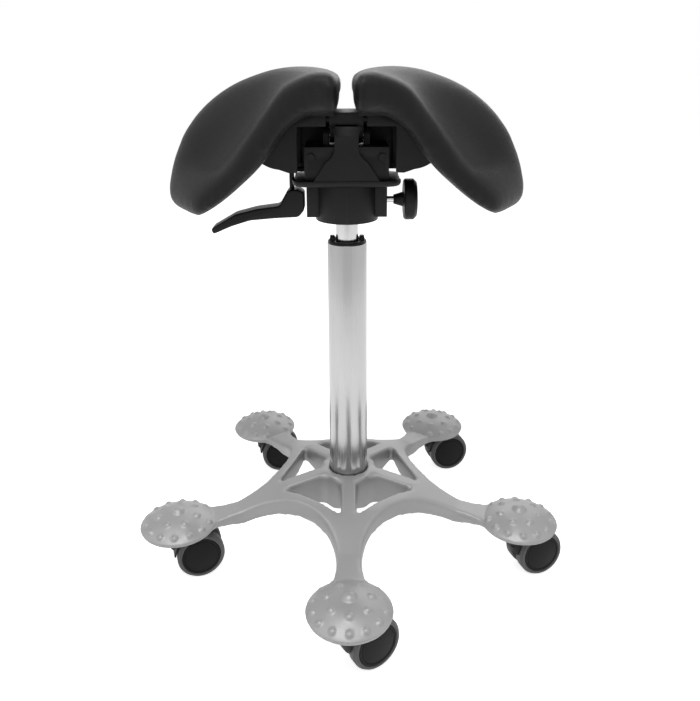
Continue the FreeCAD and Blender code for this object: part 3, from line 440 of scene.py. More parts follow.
def brush_group():
    """Brush marks: noise drawn out along Z, as on a drawn and polished tube."""
    tree, given, out = shader_group(
        "Brush marks",
        [("Vector", "NodeSocketVector", None), ("Size", "NodeSocketFloat", 900.0)],
        [("Height", "NodeSocketFloat")],
    )
    drawn = add_node(tree, "ShaderNodeVectorMath", operation="MULTIPLY")
    drawn.inputs[1].default_value = (1, 1, 0.015)
    fine = add_node(tree, "ShaderNodeTexNoise", Detail=3.0, Roughness=0.6)
    wire(
        tree,
        (given, "Vector", drawn, 0),
        (drawn, "Vector", fine, "Vector"),
        (given, "Size", fine, "Scale"),
        (fine, "Fac", out, "Height"),
    )
    return tree


def wear_group():
    """Edge wear: lifts the tone where the surface turns outwards."""
    tree, given, out = shader_group(
        "Edge wear",
        [
            ("Vector", "NodeSocketVector", None),
            ("Amount", "NodeSocketFloat", 0.5),
            ("Start", "NodeSocketFloat", 0.52),
            ("End", "NodeSocketFloat", 0.6),
        ],
        [("Mask", "NodeSocketFloat")],
    )
    bends = add_node(tree, "ShaderNodeNewGeometry")
    rough = add_node(tree, "ShaderNodeTexNoise", Scale=180.0, Detail=3.0)
    ramp = add_node(tree, "ShaderNodeMapRange")
    mixed = add_node(tree, "ShaderNodeMath", operation="MULTIPLY")
    scaled = add_node(tree, "ShaderNodeMath", operation="MULTIPLY")
    wire(
        tree,
        (given, "Vector", rough, "Vector"),
        (bends, "Pointiness", ramp, "Value"),
        (given, "Start", ramp, "From Min"),
        (given, "End", ramp, "From Max"),
        (ramp, "Result", mixed, 0),
        (rough, "Fac", mixed, 1),
        (mixed, 0, scaled, 0),
        (given, "Amount", scaled, 1),
        (scaled, 0, out, "Mask"),
    )
    return tree


def placed_group(tree, coordinates, group, **values):
    """Places a shader group in a material, on Object coordinates and with its own values."""
    made = tree.nodes.new("ShaderNodeGroup")
    made.node_tree = bpy.data.node_groups[group]
    for key, value in values.items():
        made.inputs[key.replace("_", " ")].default_value = value
    wire(tree, (coordinates, "Object", made, "Vector"))
    return made


# Finishes


def start_finish(name, metallic, roughness, **shader):
    """Starts a finish with its shader and Object coordinates."""
    material = bpy.data.materials.new(name)
    material.use_nodes = True
    tree = material.node_tree
    shading = tree.nodes["Principled BSDF"]
    shading.inputs["Metallic"].default_value = metallic
    shading.inputs["Roughness"].default_value = roughness
    for key, value in shader.items():
        shading.inputs[key.replace("_", " ")].default_value = value
    coordinates = tree.nodes.new("ShaderNodeTexCoord")
    return material, tree, shading, coordinates


def toned(tree, colour, tone):
    """A colour that a tone makes lighter and darker."""
    scaled = add_node(tree, "ShaderNodeVectorMath", operation="SCALE")
    scaled.inputs[0].default_value = colour[:3]
    tree.links.new(tone, scaled.inputs["Scale"])
    return scaled.outputs["Vector"]


def ranged(tree, value, low, high, start=0.35, end=0.65):
    """Spreads a value from between start and end to between low and high."""
    made = add_node(
        tree, "ShaderNodeMapRange", From_Min=start, From_Max=end, To_Min=low, To_Max=high
    )
    tree.links.new(value, made.inputs["Value"])
    return made.outputs["Result"]


def relieved(tree, shading, height, strength, distance):
    """Gives a finish its bump."""
    relief = add_node(tree, "ShaderNodeBump", Strength=strength, Distance=distance)
    tree.links.new(height, relief.inputs["Height"])
    tree.links.new(relief.outputs["Normal"], shading.inputs["Normal"])


def grained_finish(name, colour, metallic, roughness, spread, bump, size, tone, worn, specular):
    """A painted or moulded surface: grain in the bump, slow tone and worn edges in the colour."""
    material, tree, shading, coordinates = start_finish(
        name, metallic, roughness, Specular_IOR_Level=specular
    )
    link = tree.links.new
    grain = placed_group(
        tree, coordinates, "Fine grain", Size=size, Tone_low=1 - tone, Tone_high=1 + tone
    )
    wear = placed_group(tree, coordinates, "Edge wear", Amount=worn)
    mixed = add_node(tree, "ShaderNodeMix", data_type="RGBA")
    for socket in mixed.inputs:
        if socket.name == "A" and socket.type == "RGBA":
            link(toned(tree, colour, grain.outputs["Tone"]), socket)
        if socket.name == "B" and socket.type == "RGBA":
            socket.default_value = tuple(min(1, c * 1.7 + 0.03) for c in colour[:3]) + (1,)
        if socket.name == "Factor" and socket.type == "VALUE":
            link(wear.outputs["Mask"], socket)
    wire(tree, (mixed, 2, shading, "Base Color"))
    gloss = ranged(tree, grain.outputs["Height"], roughness - spread, roughness + spread)
    link(gloss, shading.inputs["Roughness"])
    relieved(tree, shading, grain.outputs["Height"], bump, 0.0003)
    return material


def brushed_finish(name, colour, roughness, spread, bump):
    """Bare steel with fine marks along its length."""
    material, tree, shading, coordinates = start_finish(name, 1, roughness)
    link = tree.links.new
    marks = placed_group(tree, coordinates, "Brush marks")
    grain = placed_group(tree, coordinates, "Fine grain", Tone_low=0.97, Tone_high=1.03)
    link(toned(tree, colour, grain.outputs["Tone"]), shading.inputs["Base Color"])
    gloss = ranged(tree, marks.outputs["Height"], roughness - spread, roughness + spread)
    link(gloss, shading.inputs["Roughness"])
    relieved(tree, shading, marks.outputs["Height"], bump, 0.0001)
    return material


def leather_finish(colour):
    """Black seat leather with a fine grain and a soft sheen."""
    material, tree, shading, coordinates = start_finish(
        "Seat leather", 0, 0.42, Specular_IOR_Level=0.14
    )
    link = tree.links.new
    grain = placed_group(tree, coordinates, "Leather grain")
    tone = placed_group(tree, coordinates, "Fine grain", Tone_low=0.85, Tone_high=1.15)
    link(toned(tree, colour, tone.outputs["Tone"]), shading.inputs["Base Color"])
    gloss = ranged(tree, grain.outputs["Crease"], 0.52, 0.36, 0, 1)
    link(gloss, shading.inputs["Roughness"])
    relieved(tree, shading, grain.outputs["Height"], 0.35, 0.0003)
    return material


def finish(name):
    """A finish by its name, made on its first use."""
    if name in bpy.data.materials:
        return bpy.data.materials[name]
    if "Fine grain" not in bpy.data.node_groups:
        grain_group()
        leather_group()
        brush_group()
        wear_group()
    colours = bpy.context.scene.stool_colours
    if name in GRAINED:
        tint, *values = GRAINED[name]
        return grained_finish(name, getattr(colours, tint), *values)
    if name in BRUSHED:
        tint, *values = BRUSHED[name]
        return brushed_finish(name, getattr(colours, tint), *values)
    return leather_finish(colours.leather)


# Sizes, colours and stage values that a user would change


def length(name, description, default):
    """A length in metres."""
    return FloatProperty(
        name=name, description=description, default=default, min=0, max=2, unit="LENGTH"
    )


def count(name, description, default):
    """A whole number."""
    return IntProperty(name=name, description=description, default=default, min=0)


def plain(name, description, default):
    """A number without a unit."""
    return FloatProperty(name=name, description=description, default=default)


def tilt(name, description, default):
    """An angle."""
    return FloatProperty(name=name, description=description, default=default, subtype="ANGLE")


def colour(name, description, default):
    """A linear colour."""
    return FloatVectorProperty(
        name=name, description=description, default=default, subtype="COLOR", size=3, min=0, max=1
    )


class StoolSizes(bpy.types.PropertyGroup):
    casting_voxel: length("Casting grid", "Grid of the casting's skin", 0.0018)
    casting_rounds: count("Casting rounds", "Passes that round the casting", 6)
    casting_share: plain("Casting share", "Share of the casting's faces kept", 0.42)
    skirt_rounds: count("Skirt rounds", "Passes that even the casting's sides", 14)
    skirt_slope: plain("Skirt slope", "Faces whose normal rises less than this are sides", 0.55)
    corner_rounds: count("Corner rounds", "Passes that round the windows' corners", 40)
    neck_start: length("Neck start", "Where an arm's neck starts, from the axis", 0.105)
    neck_end: length("Neck end", "Where an arm's neck ends, from the axis", 0.186)
    neck_floor: length("Neck floor", "Lowest points of a neck that are smoothed", 0.07)
    neck_rounds: count("Neck rounds", "Passes that round the arms' necks", 14)
    bump_grid: length("Bump grid", "Grid of the skin of a pad's bumps", 0.0011)
    bump_rounds: count("Bump rounds", "Passes that round the pads' bumps", 2)
    bump_share: plain("Bump share", "Share of the faces of a pad's skin kept", 0.4)
    pad_reach: length("Pad reach", "Pads from the column's axis", 0.228)
    dome_radius: length("Dome radius", "Radius of the pads' domes", 0.07768)
    dome_centre: length("Dome centre", "Height of the domes' centres", 0.01032)
    dome_reach: length("Dome reach", "Radius of the skin on the pads", 0.0478)
    dome_lift: length("Dome lift", "Pads' skin over the casting", 0.0004)
    dome_depth: length("Dome depth", "Pads' skin under the casting's surface", 0.0022)
    dome_inset: length("Dome inset", "Underside of the pads' skin is smaller by this", 0.001)
    bump_radius: length("Bump radius", "Radius of a bump on a pad", 0.0053)
    bump_sink: length("Bump sink", "Bump centres under the dome", 0.0021)
    knob_radius: length("Middle bump", "Radius of the bump in a pad's middle", 0.0100)
    bump_loss: length("Outer bump loss", "Bumps of the outer ring are smaller by this", 0.0004)
    knob_sink: length("Middle bump sink", "Centre of the middle bump under the dome", 0.0047)
    ring_inside: length("Inner ring", "Radius of the inner ring of bumps", 0.0248)
    ring_outside: length("Outer ring", "Radius of the outer ring of bumps", 0.0404)
    tube_wall: length("Tube wall", "Wall of the column's tube", 0.002)
    cone_length: length("Cone length", "Tapered top of the gas cylinder", 0.05)
    cone_loss: length("Cone loss", "Radius that the cylinder's cone loses", 0.0009)
    cylinder_bore: length("Cylinder bore", "Radius of the cylinder's bore", 0.007)
    lug_height: length("Lug height", "Lugs on the column's collar", 0.0045)
    lug_width: length("Lug width", "Width of a lug", 0.008)
    lug_depth: length("Lug depth", "Depth of a lug", 0.015)
    lug_reach: length("Lug reach", "Lugs from the column's axis", 0.0185)
    cover_slope: length("Cover slope", "Front cover's head leans back by this", 0.0048)
    cover_head: length("Cover head", "Height of the front cover's leaning head", 0.011)
    paddle_corner: length("Paddle corners", "Rounding of the lever's outline", 0.0032)
    knob_bore: length("Knob bore", "Points of the knob's neck outside this radius taper", 0.0042)
    knob_taper: plain("Knob taper", "Share of the knob's neck left at its end", 0.6)
    plate_bowl: length("Plate's lower edge", "Rounding of the plate's lower edge", 0.0045)
    gusset_flare: length("Bracket flare", "Bracket sides reach out by this", 0.010)
    gusset_start: length("Gusset start", "Bracket sides flare outside this", 0.0695)
    gusset_rise: length("Gusset rise", "Flared corners rise by this", 0.004)
    gusset_drop: length("Gusset drop", "Flared corners lie this far under the top", 0.015)
    web_inset: length("Web inset", "A web stands inside its bracket's back by this", 0.0003)
    web_lift: length("Web lift", "Inner foot of a web over the bracket's", 0.0120)
    web_thickness: length("Web thickness", "Plates between the slide brackets' sides", 0.0022)
    web_inside: length("Web inside", "Inner edge of a web, from the middle", 0.0205)
    web_outside: length("Web outside", "Outer edge of a web, from the middle", 0.0670)
    web_corner: length("Web corner", "Lower inner corner of a web, from the middle", 0.0440)
    web_drop: length("Web drop", "A web reaches below its bracket by this", 0.0072)
    apron_thickness: length("Apron thickness", "Plate behind the seat's carrier", 0.0018)
    apron_inset: length("Apron inset", "The plate stands inside the carrier's back", 0.002)
    apron_drop: length("Apron drop", "Top of the plate under the carrier's top", 0.0124)
    apron_foot: length("Apron foot", "Foot of the plate under the front cover's top", 0.0205)
    apron_taper: length("Apron taper", "The plate's foot is narrower on each side by this", 0.004)
    cushion_voxel: length("Cushion grid", "Grid of the cushion's skin", 0.005)
    tip_height: length("Tip height", "Height of a cushion's lower corner that is evened", 0.06)
    tip_back: length("Tip back", "The evened corner ends this far behind the column's axis", 0.01)
    cushion_swell: length("Cushion swell", "Most that a point of the cushion moves", 0.004)
    plastic_round: length("Plastic edges", "Edge rounding of moulded pieces", 0.0012)
    metal_round: length("Metal edges", "Edge rounding of metal pieces", 0.0006)
    sheet_round: length("Sheet edges", "Edge rounding of the tube, the apron and the webs", 0.0005)
    cylinder_round: length("Cylinder edges", "Edge rounding of the gas cylinder", 0.0008)
    paddle_round: length("Paddle edges", "Edge rounding of the lever's paddle", 0.0022)


class StoolColours(bpy.types.PropertyGroup):
    casting: colour("Casting", "Silver grey paint of the base", (0.32, 0.32, 0.32))
    steel: colour("Steel", "Satin steel of the column", (0.4, 0.4, 0.4))
    bright: colour("Bright steel", "Polished steel of the gas cylinder", (0.5, 0.5, 0.5))
    black_steel: colour("Black steel", "Coated steel under the seat", (0.008, 0.008, 0.0085))
    plastic: colour("Plastic", "Moulded covers, lever and knob", (0.009, 0.009, 0.0095))
    wheel: colour("Wheel", "Castor wheel bodies", (0.007, 0.007, 0.0072))
    tread: colour("Tread", "Soft treads", (0.11, 0.11, 0.11))
    rubber: colour("Rubber", "Buffer", (0.02, 0.02, 0.02))
    leather: colour("Leather", "Seat leather", (0.0085, 0.0085, 0.0087))


class StoolStage(bpy.types.PropertyGroup):
    camera_place: FloatVectorProperty(
        name="Camera", description="Camera's place", default=(0.0004, -0.9150, 0.6500), unit="LENGTH"
    )
    camera_pitch: tilt("Pitch", "Camera's tilt down", 0.2399)
    camera_yaw: tilt("Yaw", "Camera's turn", -0.0035)
    camera_roll: tilt("Roll", "Camera's roll", -0.0053)
    camera_lens: FloatProperty(
        name="Lens", description="Focal length", default=38.54, unit="CAMERA"
    )
    camera_rise: plain("Shift", "The frame's shift, as the photograph is cropped", -0.16)
    lamp_power: FloatProperty(
        name="Lamps", description="Power of the key lamp", default=27, unit="POWER"
    )
    world_light: plain("World", "Strength of the room's own light", 0.24)
    floor_glow: plain("Floor glow", "Lifts the floor to white for the camera", 0.785)
    card_tone: plain("Card", "Grey of the card behind the camera", 0.92)


# Stage

# Lamps: name, place, aim, size and share of the key lamp's power
LAMPS = (
    ("Top lamp", (-0.25, -0.75, 2.1), (0, 0, 0.3), 1.2, 1),
    ("Left lamp", (-1.8, -0.35, 1.35), (0, 0, 0.4), 1.8, 0.32),
    ("Right lamp", (1.8, -0.35, 1.35), (0, 0, 0.4), 1.8, 0.26),
    ("Back lamp", (0.5, 1.8, 1.4), (0, 0, 0.45), 1.8, 0.45),
)


def make_camera(stage):
    """The camera at the photograph's angle."""
    data = bpy.data.cameras.new("Photo camera")
    camera = bpy.data.objects.new("Photo camera", data)
    bpy.context.scene.collection.objects.link(camera)
    bpy.context.scene.camera = camera
    data.lens = stage.camera_lens
    data.sensor_width = 36
    data.shift_y = stage.camera_rise
    turn = Matrix.Rotation(stage.camera_yaw, 4, "Z")
    pitch = Matrix.Rotation(math.pi / 2 - stage.camera_pitch, 4, "X")
    roll = Matrix.Rotation(stage.camera_roll, 4, "Z")
    camera.matrix_world = Matrix.Translation(stage.camera_place) @ turn @ pitch @ roll


def make_lamp(name, place_at, aim, size, power):
    """A soft square lamp that looks at a point."""
    data = bpy.data.lights.new(name, "AREA")
    data.shape = "SQUARE"
    data.size = size
    data.energy = power
    lamp = bpy.data.objects.new(name, data)
    bpy.context.scene.collection.objects.link(lamp)
    lamp.location = place_at
    lamp.rotation_mode = "QUATERNION"
    lamp.rotation_quaternion = (Vector(aim) - Vector(place_at)).to_track_quat("-Z", "Y")


def seen_rays(tree):
    """One for the rays of the camera, and of what metal and glass show."""
    path = tree.nodes.new("ShaderNodeLightPath")
    total = path.outputs["Is Camera Ray"]
    for ray in ("Is Glossy Ray", "Is Transmission Ray"):
        added = add_node(tree, "ShaderNodeMath", operation="ADD", use_clamp=True)
        tree.links.new(total, added.inputs[0])
        tree.links.new(path.outputs[ray], added.inputs[1])
        total = added.outputs[0]
    return total


def pale_finish(tone, glow):
    """A floor that the camera and metal see as white, and that still takes the shadow."""
    material, tree, shading, coordinates = start_finish(
        "Pale floor",
        0,
        0.9,
        Base_Color=(tone, tone, tone, 1),
        Specular_IOR_Level=0,
        Emission_Color=(1, 1, 1, 1),
    )
    lit = add_node(tree, "ShaderNodeMath", operation="MULTIPLY")
    lit.inputs[1].default_value = glow
    tree.links.new(seen_rays(tree), lit.inputs[0])
    tree.links.new(lit.outputs[0], shading.inputs["Emission Strength"])
    return material


def make_floor(glow):
    """A wide plain floor."""
    deselect()
    bpy.ops.mesh.primitive_plane_add(size=40, location=(0, 0, 0))
    floor = bpy.context.object
    floor.name = "floor"
    floor.data.materials.append(pale_finish(0.9, glow))


def make_card(name, place_at, turn, width, height, tone):
    """A grey card that only reflections see, as beside a studio camera."""
    deselect()
    bpy.ops.mesh.primitive_plane_add(size=1, location=place_at, rotation=turn)
    card = bpy.context.object
    card.name = name
    card.scale = (width, height, 1)
    bpy.ops.object.transform_apply(location=False, rotation=False, scale=True)
    material = start_finish(
        name,
        0,
        1,
        Base_Color=(0, 0, 0, 1),
        Specular_IOR_Level=0,
        Emission_Color=(tone, tone, tone, 1),
        Emission_Strength=1,
    )[0]
    card.data.materials.append(material)
    for rays in ("camera", "diffuse", "transmission", "shadow"):
        setattr(card, "visible_" + rays, False)


def make_world(strength):
    """A world that lights softly and is white to the camera, metal and glass."""
    world = bpy.data.worlds.new("Studio")
    bpy.context.scene.world = world
    world.use_nodes = True
    tree = world.node_tree
    light = tree.nodes["Background"]
    seen = add_node(tree, "ShaderNodeBackground", Strength=1.0, Color=(1, 1, 1, 1))
    light.inputs["Color"].default_value = (1, 1, 1, 1)
    light.inputs["Strength"].default_value = strength
    mixed = tree.nodes.new("ShaderNodeMixShader")
    link = tree.links.new
    link(seen_rays(tree), mixed.inputs["Fac"])
    link(light.outputs[0], mixed.inputs[1])
    link(seen.outputs[0], mixed.inputs[2])
    link(mixed.outputs[0], tree.nodes["World Output"].inputs["Surface"])


class StoolStageOperator(bpy.types.Operator):
    """Sets the camera, lamps, floor and world"""

    bl_idname = "stool.stage"
    bl_label = "Stage"

    def execute(self, context):
        stage = context.scene.stool_stage
        make_camera(stage)
        make_floor(stage.floor_glow)
        make_world(stage.world_light)
        upright = (math.pi / 2, 0, 0)
        make_card("Grey card", (0, -1.9, 0.75), upright, 2.0, 1.6, stage.card_tone)
        for name, place_at, aim, size, share in LAMPS:
            make_lamp(name, place_at, aim, size, stage.lamp_power * share)
        context.scene.view_settings.view_transform = "Standard"
        return {"FINISHED"}


# Pieces


def near_window_corner(at):
    """Whether a point is by one of the corners of the five windows between the arms."""
    half = ARM_STEP / 2
    turn = math.degrees(math.atan2(at.y, at.x))
    off = math.radians(abs((turn - FIRST_WINDOW + half) % ARM_STEP - half))
    reach = math.hypot(at.x, at.y)
    spot = (reach * math.cos(off), reach * math.sin(off))
    return min(math.dist(spot, WINDOW_TIP), math.dist(spot, WINDOW_INNER)) < CORNER_REACH


def dome_bump(sizes, reach, turn, radius, sink, segments):
    """One bump that stands on a pad's dome."""
    lean = (sizes.dome_radius - sink) / sizes.dome_radius
    rise = math.sqrt(sizes.dome_radius**2 - reach**2)
    at = (
        reach * lean * math.cos(turn),
        reach * lean * math.sin(turn),
        sizes.dome_centre + rise * lean,
    )
    deselect()
    bpy.ops.mesh.primitive_uv_sphere_add(
        segments=segments, ring_count=segments // 2, radius=radius, location=at
    )
    return bpy.context.object


def pad_bumps(sizes):
    """The bumps of one pad, round an upright axis: one in the middle and two rings."""
    bumps = [dome_bump(sizes, 0, 0, sizes.knob_radius, sizes.knob_sink, 24)]
    radius = sizes.bump_radius
    for step in range(INNER_PLACES):
        turn = math.tau / INNER_PLACES * step
        bumps.append(dome_bump(sizes, sizes.ring_inside, turn, radius, sizes.bump_sink, 16))
    radius = sizes.bump_radius - sizes.bump_loss
    for step in range(-OUTER_TAKEN, OUTER_TAKEN + 1):
        turn = math.tau / OUTER_PLACES * step
        bumps.append(dome_bump(sizes, sizes.ring_outside, turn, radius, sizes.bump_sink, 16))
    whole = join(bumps)
    bpy.ops.object.transform_apply(location=True, rotation=True, scale=True)
    return whole


def pad_dome(sizes):
    """The clean skin of one pad's dome, a little over the casting's."""
    steps = 12
    over = []
    under = []
    for step in range(steps + 1):
        radius = sizes.dome_reach * step / steps
        height = sizes.dome_centre + math.sqrt(sizes.dome_radius**2 - radius**2)
        over.append((max(radius, 2 * TINY), height + sizes.dome_lift))
        under.append((max(radius - sizes.dome_inset, 2 * TINY), height - sizes.dome_depth))
    return lathe("pad_dome", over + under[::-1], 72)


class StoolCasting(bpy.types.Operator):
    """Skins the five-armed base as one soft-edged casting and sets the bumps on its pads"""

    bl_idname = "stool.casting"
    bl_label = "Base casting"

    def execute(self, context):
        sizes = context.scene.stool_sizes
        casting = copied("star_base", "base_casting")
        modify(casting, "REMESH", mode="VOXEL", voxel_size=sizes.casting_voxel)
        modify(casting, "SMOOTH", factor=0.5, iterations=sizes.casting_rounds)
        soften(
            casting,
            lambda at: sizes.neck_start < math.hypot(at.x, at.y) < sizes.neck_end
            and at.z > sizes.neck_floor,
            sizes.neck_rounds,
        )
        soften(casting, near_window_corner, sizes.corner_rounds)
        edit(casting)
        pick_faces(casting, lambda at, normal: normal.z < sizes.skirt_slope)
        bpy.ops.mesh.vertices_smooth(factor=0.5, repeat=sizes.skirt_rounds)
        modify(casting, "DECIMATE", ratio=sizes.casting_share)
        smooth(casting, 60)
        bumps = join([pad_bumps(sizes), pad_dome(sizes)])
        modify(bumps, "REMESH", mode="VOXEL", voxel_size=sizes.bump_grid)
        modify(bumps, "SMOOTH", factor=0.5, iterations=sizes.bump_rounds)
        modify(bumps, "DECIMATE", ratio=sizes.bump_share)
        smooth(bumps, 60)
        out = Matrix.Translation((sizes.pad_reach, 0, 0))
        copies = [
            twin(bumps, Matrix.Rotation(math.radians(ARM_STEP * arm + FIRST_ARM), 4, "Z") @ out)
            for arm in range(len(CASTORS))
        ]
        bpy.data.objects.remove(bumps)
        join([casting] + copies)
        seat(casting, finish("Cast paint"), "grey_cast", "base", "star_base")
        return {"FINISHED"}


class StoolColumn(bpy.types.Operator):
    """Turns the column's tube, its sleeve and the gas cylinder"""

    bl_idname = "stool.column"
    bl_label = "Column"

    def execute(self, context):
        sizes = context.scene.stool_sizes
        tube_low, tube_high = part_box("column_tube")
        radius = tube_high.x
        inside = radius - sizes.tube_wall
        tube = lathe(
            "column_shell",
            [
                (radius, tube_low.z),
                (radius, tube_high.z),
                (inside, tube_high.z),
                (inside, tube_low.z),
            ],
            96,
        )
        rounded(tube, sizes.sheet_round)
        seat(tube, finish("Satin steel"), "satin_steel", "base", "column_tube")
        cylinder_low, cylinder_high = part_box("gas_cylinder")
        cylinder_radius = cylinder_high.x
        cylinder = lathe(
            "cylinder_shell",
            [
                (cylinder_radius, cylinder_low.z),
                (cylinder_radius, cylinder_high.z - sizes.cone_length),
                (cylinder_radius - sizes.cone_loss, cylinder_high.z),
                (sizes.cylinder_bore, cylinder_high.z),
                (sizes.cylinder_bore, cylinder_low.z),
            ],
            64,
        )
        rounded(cylinder, sizes.cylinder_round)
        seat(cylinder, finish("Bright steel"), "bright_steel", "lift", "gas_cylinder")
        sleeve = refined("guide_sleeve", "column_sleeve", sizes.metal_round)
        sleeve_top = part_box("guide_sleeve")[1].z
        lugs = [sleeve]
        for side in (-1, 1):
            deselect()
            bpy.ops.mesh.primitive_cube_add(
                size=1, location=(side * sizes.lug_reach, 0, sleeve_top + 0.001)
            )
            lug = bpy.context.object
            lug.scale = (sizes.lug_width, sizes.lug_depth, 2 * sizes.lug_height)
            bpy.ops.object.transform_apply(location=True, rotation=False, scale=True)
            edit(lug)
            pick_points(lug, lambda at: at.z > sleeve_top)
            bpy.ops.transform.resize(value=(0.7, 0.6, 1))
            rounded(lug, sizes.plastic_round)
            lugs.append(lug)
        join(lugs)
        seat(sleeve, finish("Black plastic"), "black_plastic", "base", "guide_sleeve")
        for node in INNER_STEEL:
            paint(node, finish("Bright steel"))
        paint("rod_clip", finish("Black steel"))
        paint("rubber_buffer", finish("Black rubber"))
        return {"FINISHED"}


class StoolMechanism(bpy.types.Operator):
    """Rounds the housing, the plate, the block and the front cover"""

    bl_idname = "stool.mechanism"
    bl_label = "Mechanism"

    def execute(self, context):
        sizes = context.scene.stool_sizes
        plate = flattened("mechanism_plate", "shell_plate")
        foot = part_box("mechanism_plate")[0].z
        edit(plate)
        pick_edges(plate, lambda one, two: max(one.z, two.z) < foot + TINY)
        bpy.ops.mesh.bevel(offset=sizes.plate_bowl, segments=4, affect="EDGES")
        rounded(plate, sizes.plastic_round, 3)
        seat(plate, finish("Black plastic"), "black_plastic", "lift", "mechanism_plate")
        for node in ("mechanism_housing", "mechanism_block"):
            piece = refined(node, node.replace("mechanism", "shell"), sizes.plastic_round, 3)
            seat(piece, finish("Black plastic"), "black_plastic", "lift", node)
        cover = flattened("mechanism_cover", "shell_cover")
        low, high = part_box("mechanism_cover")
        middle_y = (low.y + high.y) / 2
        edit(cover)
        bpy.ops.mesh.select_all(action="SELECT")
        bpy.ops.mesh.bisect(plane_co=(0, 0, high.z - sizes.cover_head), plane_no=(0, 0, 1))
        pick_points(cover, lambda at: at.z > high.z - TINY and at.y < middle_y)
        bpy.ops.transform.translate(value=(0, sizes.cover_slope, 0))
        rounded(cover, sizes.plastic_round, 3, 15)
        seat(cover, finish("Black plastic"), "black_plastic", "lift", "mechanism_cover")
        paint("cover_screws", finish("Black steel"))
        paint("lever_pin", finish("Bright steel"))
        paint("tilt_pin", finish("Bright steel"))
        return {"FINISHED"}


class StoolLever(bpy.types.Operator):
    """Shapes the height lever's paddle and its rod"""

    bl_idname = "stool.lever"
    bl_label = "Height lever"

    def execute(self, context):
        sizes = context.scene.stool_sizes
        low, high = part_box("lever_paddle")
        rod_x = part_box("lever_rod")[0].x + LEVER_ROD_RADIUS
        rod_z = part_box("lever_rod")[1].z - LEVER_BEND_DROP
        outline = [
            Vector((rod_x - out / 1000, low.y, rod_z - down / 1000)) for out, down in PADDLE
        ]
        paddle = slab("lever_blade", outline, Vector((0, high.y - low.y, 0)))
        edit(paddle)
        pick_edges(paddle, lambda one, two: (one - two).xz.length < TINY)
        bpy.ops.mesh.bevel(offset=sizes.paddle_corner, segments=5, affect="EDGES")
        rounded(paddle, sizes.paddle_round, 4, 35)
        seat(paddle, finish("Black plastic"), "black_plastic", "lever", "lever_paddle")
        rod = refined("lever_rod", "lever_wire", sizes.metal_round)
        seat(rod, finish("Black steel"), "black_metal", "lever", "lever_rod")
        return {"FINISHED"}


class StoolKnob(bpy.types.Operator):
    """Shapes the clamp knob"""

    bl_idname = "stool.knob"
    bl_label = "Hand knob"

    def execute(self, context):
        sizes = context.scene.stool_sizes
        knob = flattened("hand_knob", "knob_grip")
        neck_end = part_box("hand_knob")[0].x + 0.0005
        axis_z = middle("hand_knob").z
        edit(knob)
        pick_points(
            knob, lambda at: at.x < neck_end and math.hypot(at.y, at.z - axis_z) > sizes.knob_bore
        )
        bpy.ops.transform.resize(value=(1, sizes.knob_taper, sizes.knob_taper))
        rounded(knob, sizes.metal_round)
        seat(knob, finish("Black plastic"), "black_plastic", "knob", "hand_knob")
        paint("knob_spindle", finish("Bright steel"))
        return {"FINISHED"}


class StoolUnderframe(bpy.types.Operator):
    """Finishes the carrier, the rails and the brackets under the seat"""

    bl_idname = "stool.underframe"
    bl_label = "Underframe"

    def execute(self, context):
        sizes = context.scene.stool_sizes
        carrier = refined("tilt_carrier", "carrier_casting", sizes.plastic_round, 3)
        low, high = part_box("tilt_carrier")
        top = high.z - sizes.apron_drop
        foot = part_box("mechanism_cover")[1].z - sizes.apron_foot
        back = high.y - sizes.apron_inset
        apron = slab(
            "carrier_apron",
            [
                Vector((low.x, back, top)),
                Vector((high.x, back, top)),
                Vector((high.x - sizes.apron_taper, back, foot)),
                Vector((low.x + sizes.apron_taper, back, foot)),
            ],
            Vector((0, sizes.apron_thickness, 0)),
        )
        rounded(apron, sizes.sheet_round)
        join([carrier, apron])
        seat(carrier, finish("Black steel"), "black_metal", "tilt", "tilt_carrier")
        paint("guide_rails", finish("Black steel"))
        for side, sign in zip(SIDES, (-1, 1)):
            node = "seat_bracket_" + side
            bracket = flattened(node, "slide_bracket_" + side)
            low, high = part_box(node)
            edit(bracket)
            pick_points(
                bracket,
                lambda at: sign * at.x > sizes.gusset_start and at.z < high.z - sizes.gusset_drop,
            )
            bpy.ops.transform.translate(value=(sign * sizes.gusset_flare, 0, sizes.gusset_rise))
            rounded(bracket, sizes.metal_round, 2)
            back = high.y - sizes.web_thickness - sizes.web_inset
            outline = (
                (sizes.web_inside, high.z - sizes.metal_round),
                (sizes.web_outside, high.z - sizes.metal_round),
                (sizes.web_outside, low.z - sizes.web_drop),
                (sizes.web_corner, low.z - sizes.web_drop),
                (sizes.web_inside, low.z + sizes.web_lift),
            )
            web = slab(
                "bracket_web_" + side,
                [Vector((sign * across, back, height)) for across, height in outline],
                Vector((0, sizes.web_thickness, 0)),
            )
            rounded(web, sizes.sheet_round)
            join([bracket, web])
            seat(bracket, finish("Black steel"), "black_metal", "seat_" + side, node)
            paint("seat_pan_" + side, finish("Black plastic"))
        return {"FINISHED"}


class StoolCastors(bpy.types.Operator):
    """Shapes the five twin-wheel castors"""

    bl_idname = "stool.castors"
    bl_label = "Castors"

    def execute(self, context):
        sizes = context.scene.stool_sizes
        for which in CASTORS:
            name = "castor_" + which
            hood = refined(name + "_hood", name + "_fork", sizes.plastic_round)
            seat(hood, finish("Black plastic"), "black_plastic", name, name + "_hood")
            paint(name + "_pins", finish("Bright steel"))
            for side in ("_l", "_r"):
                body = "wheel_" + which + side
                disc = refined(name + "_wheel" + side, name + "_disc" + side, sizes.metal_round)
                seat(disc, finish("Wheel plastic"), "black_plastic", body, name + "_wheel" + side)
                tread = refined(name + "_tread" + side, name + "_tyre" + side, sizes.metal_round)
                seat(tread, finish("Grey tread"), "grey_tread", body, name + "_tread" + side)
        return {"FINISHED"}


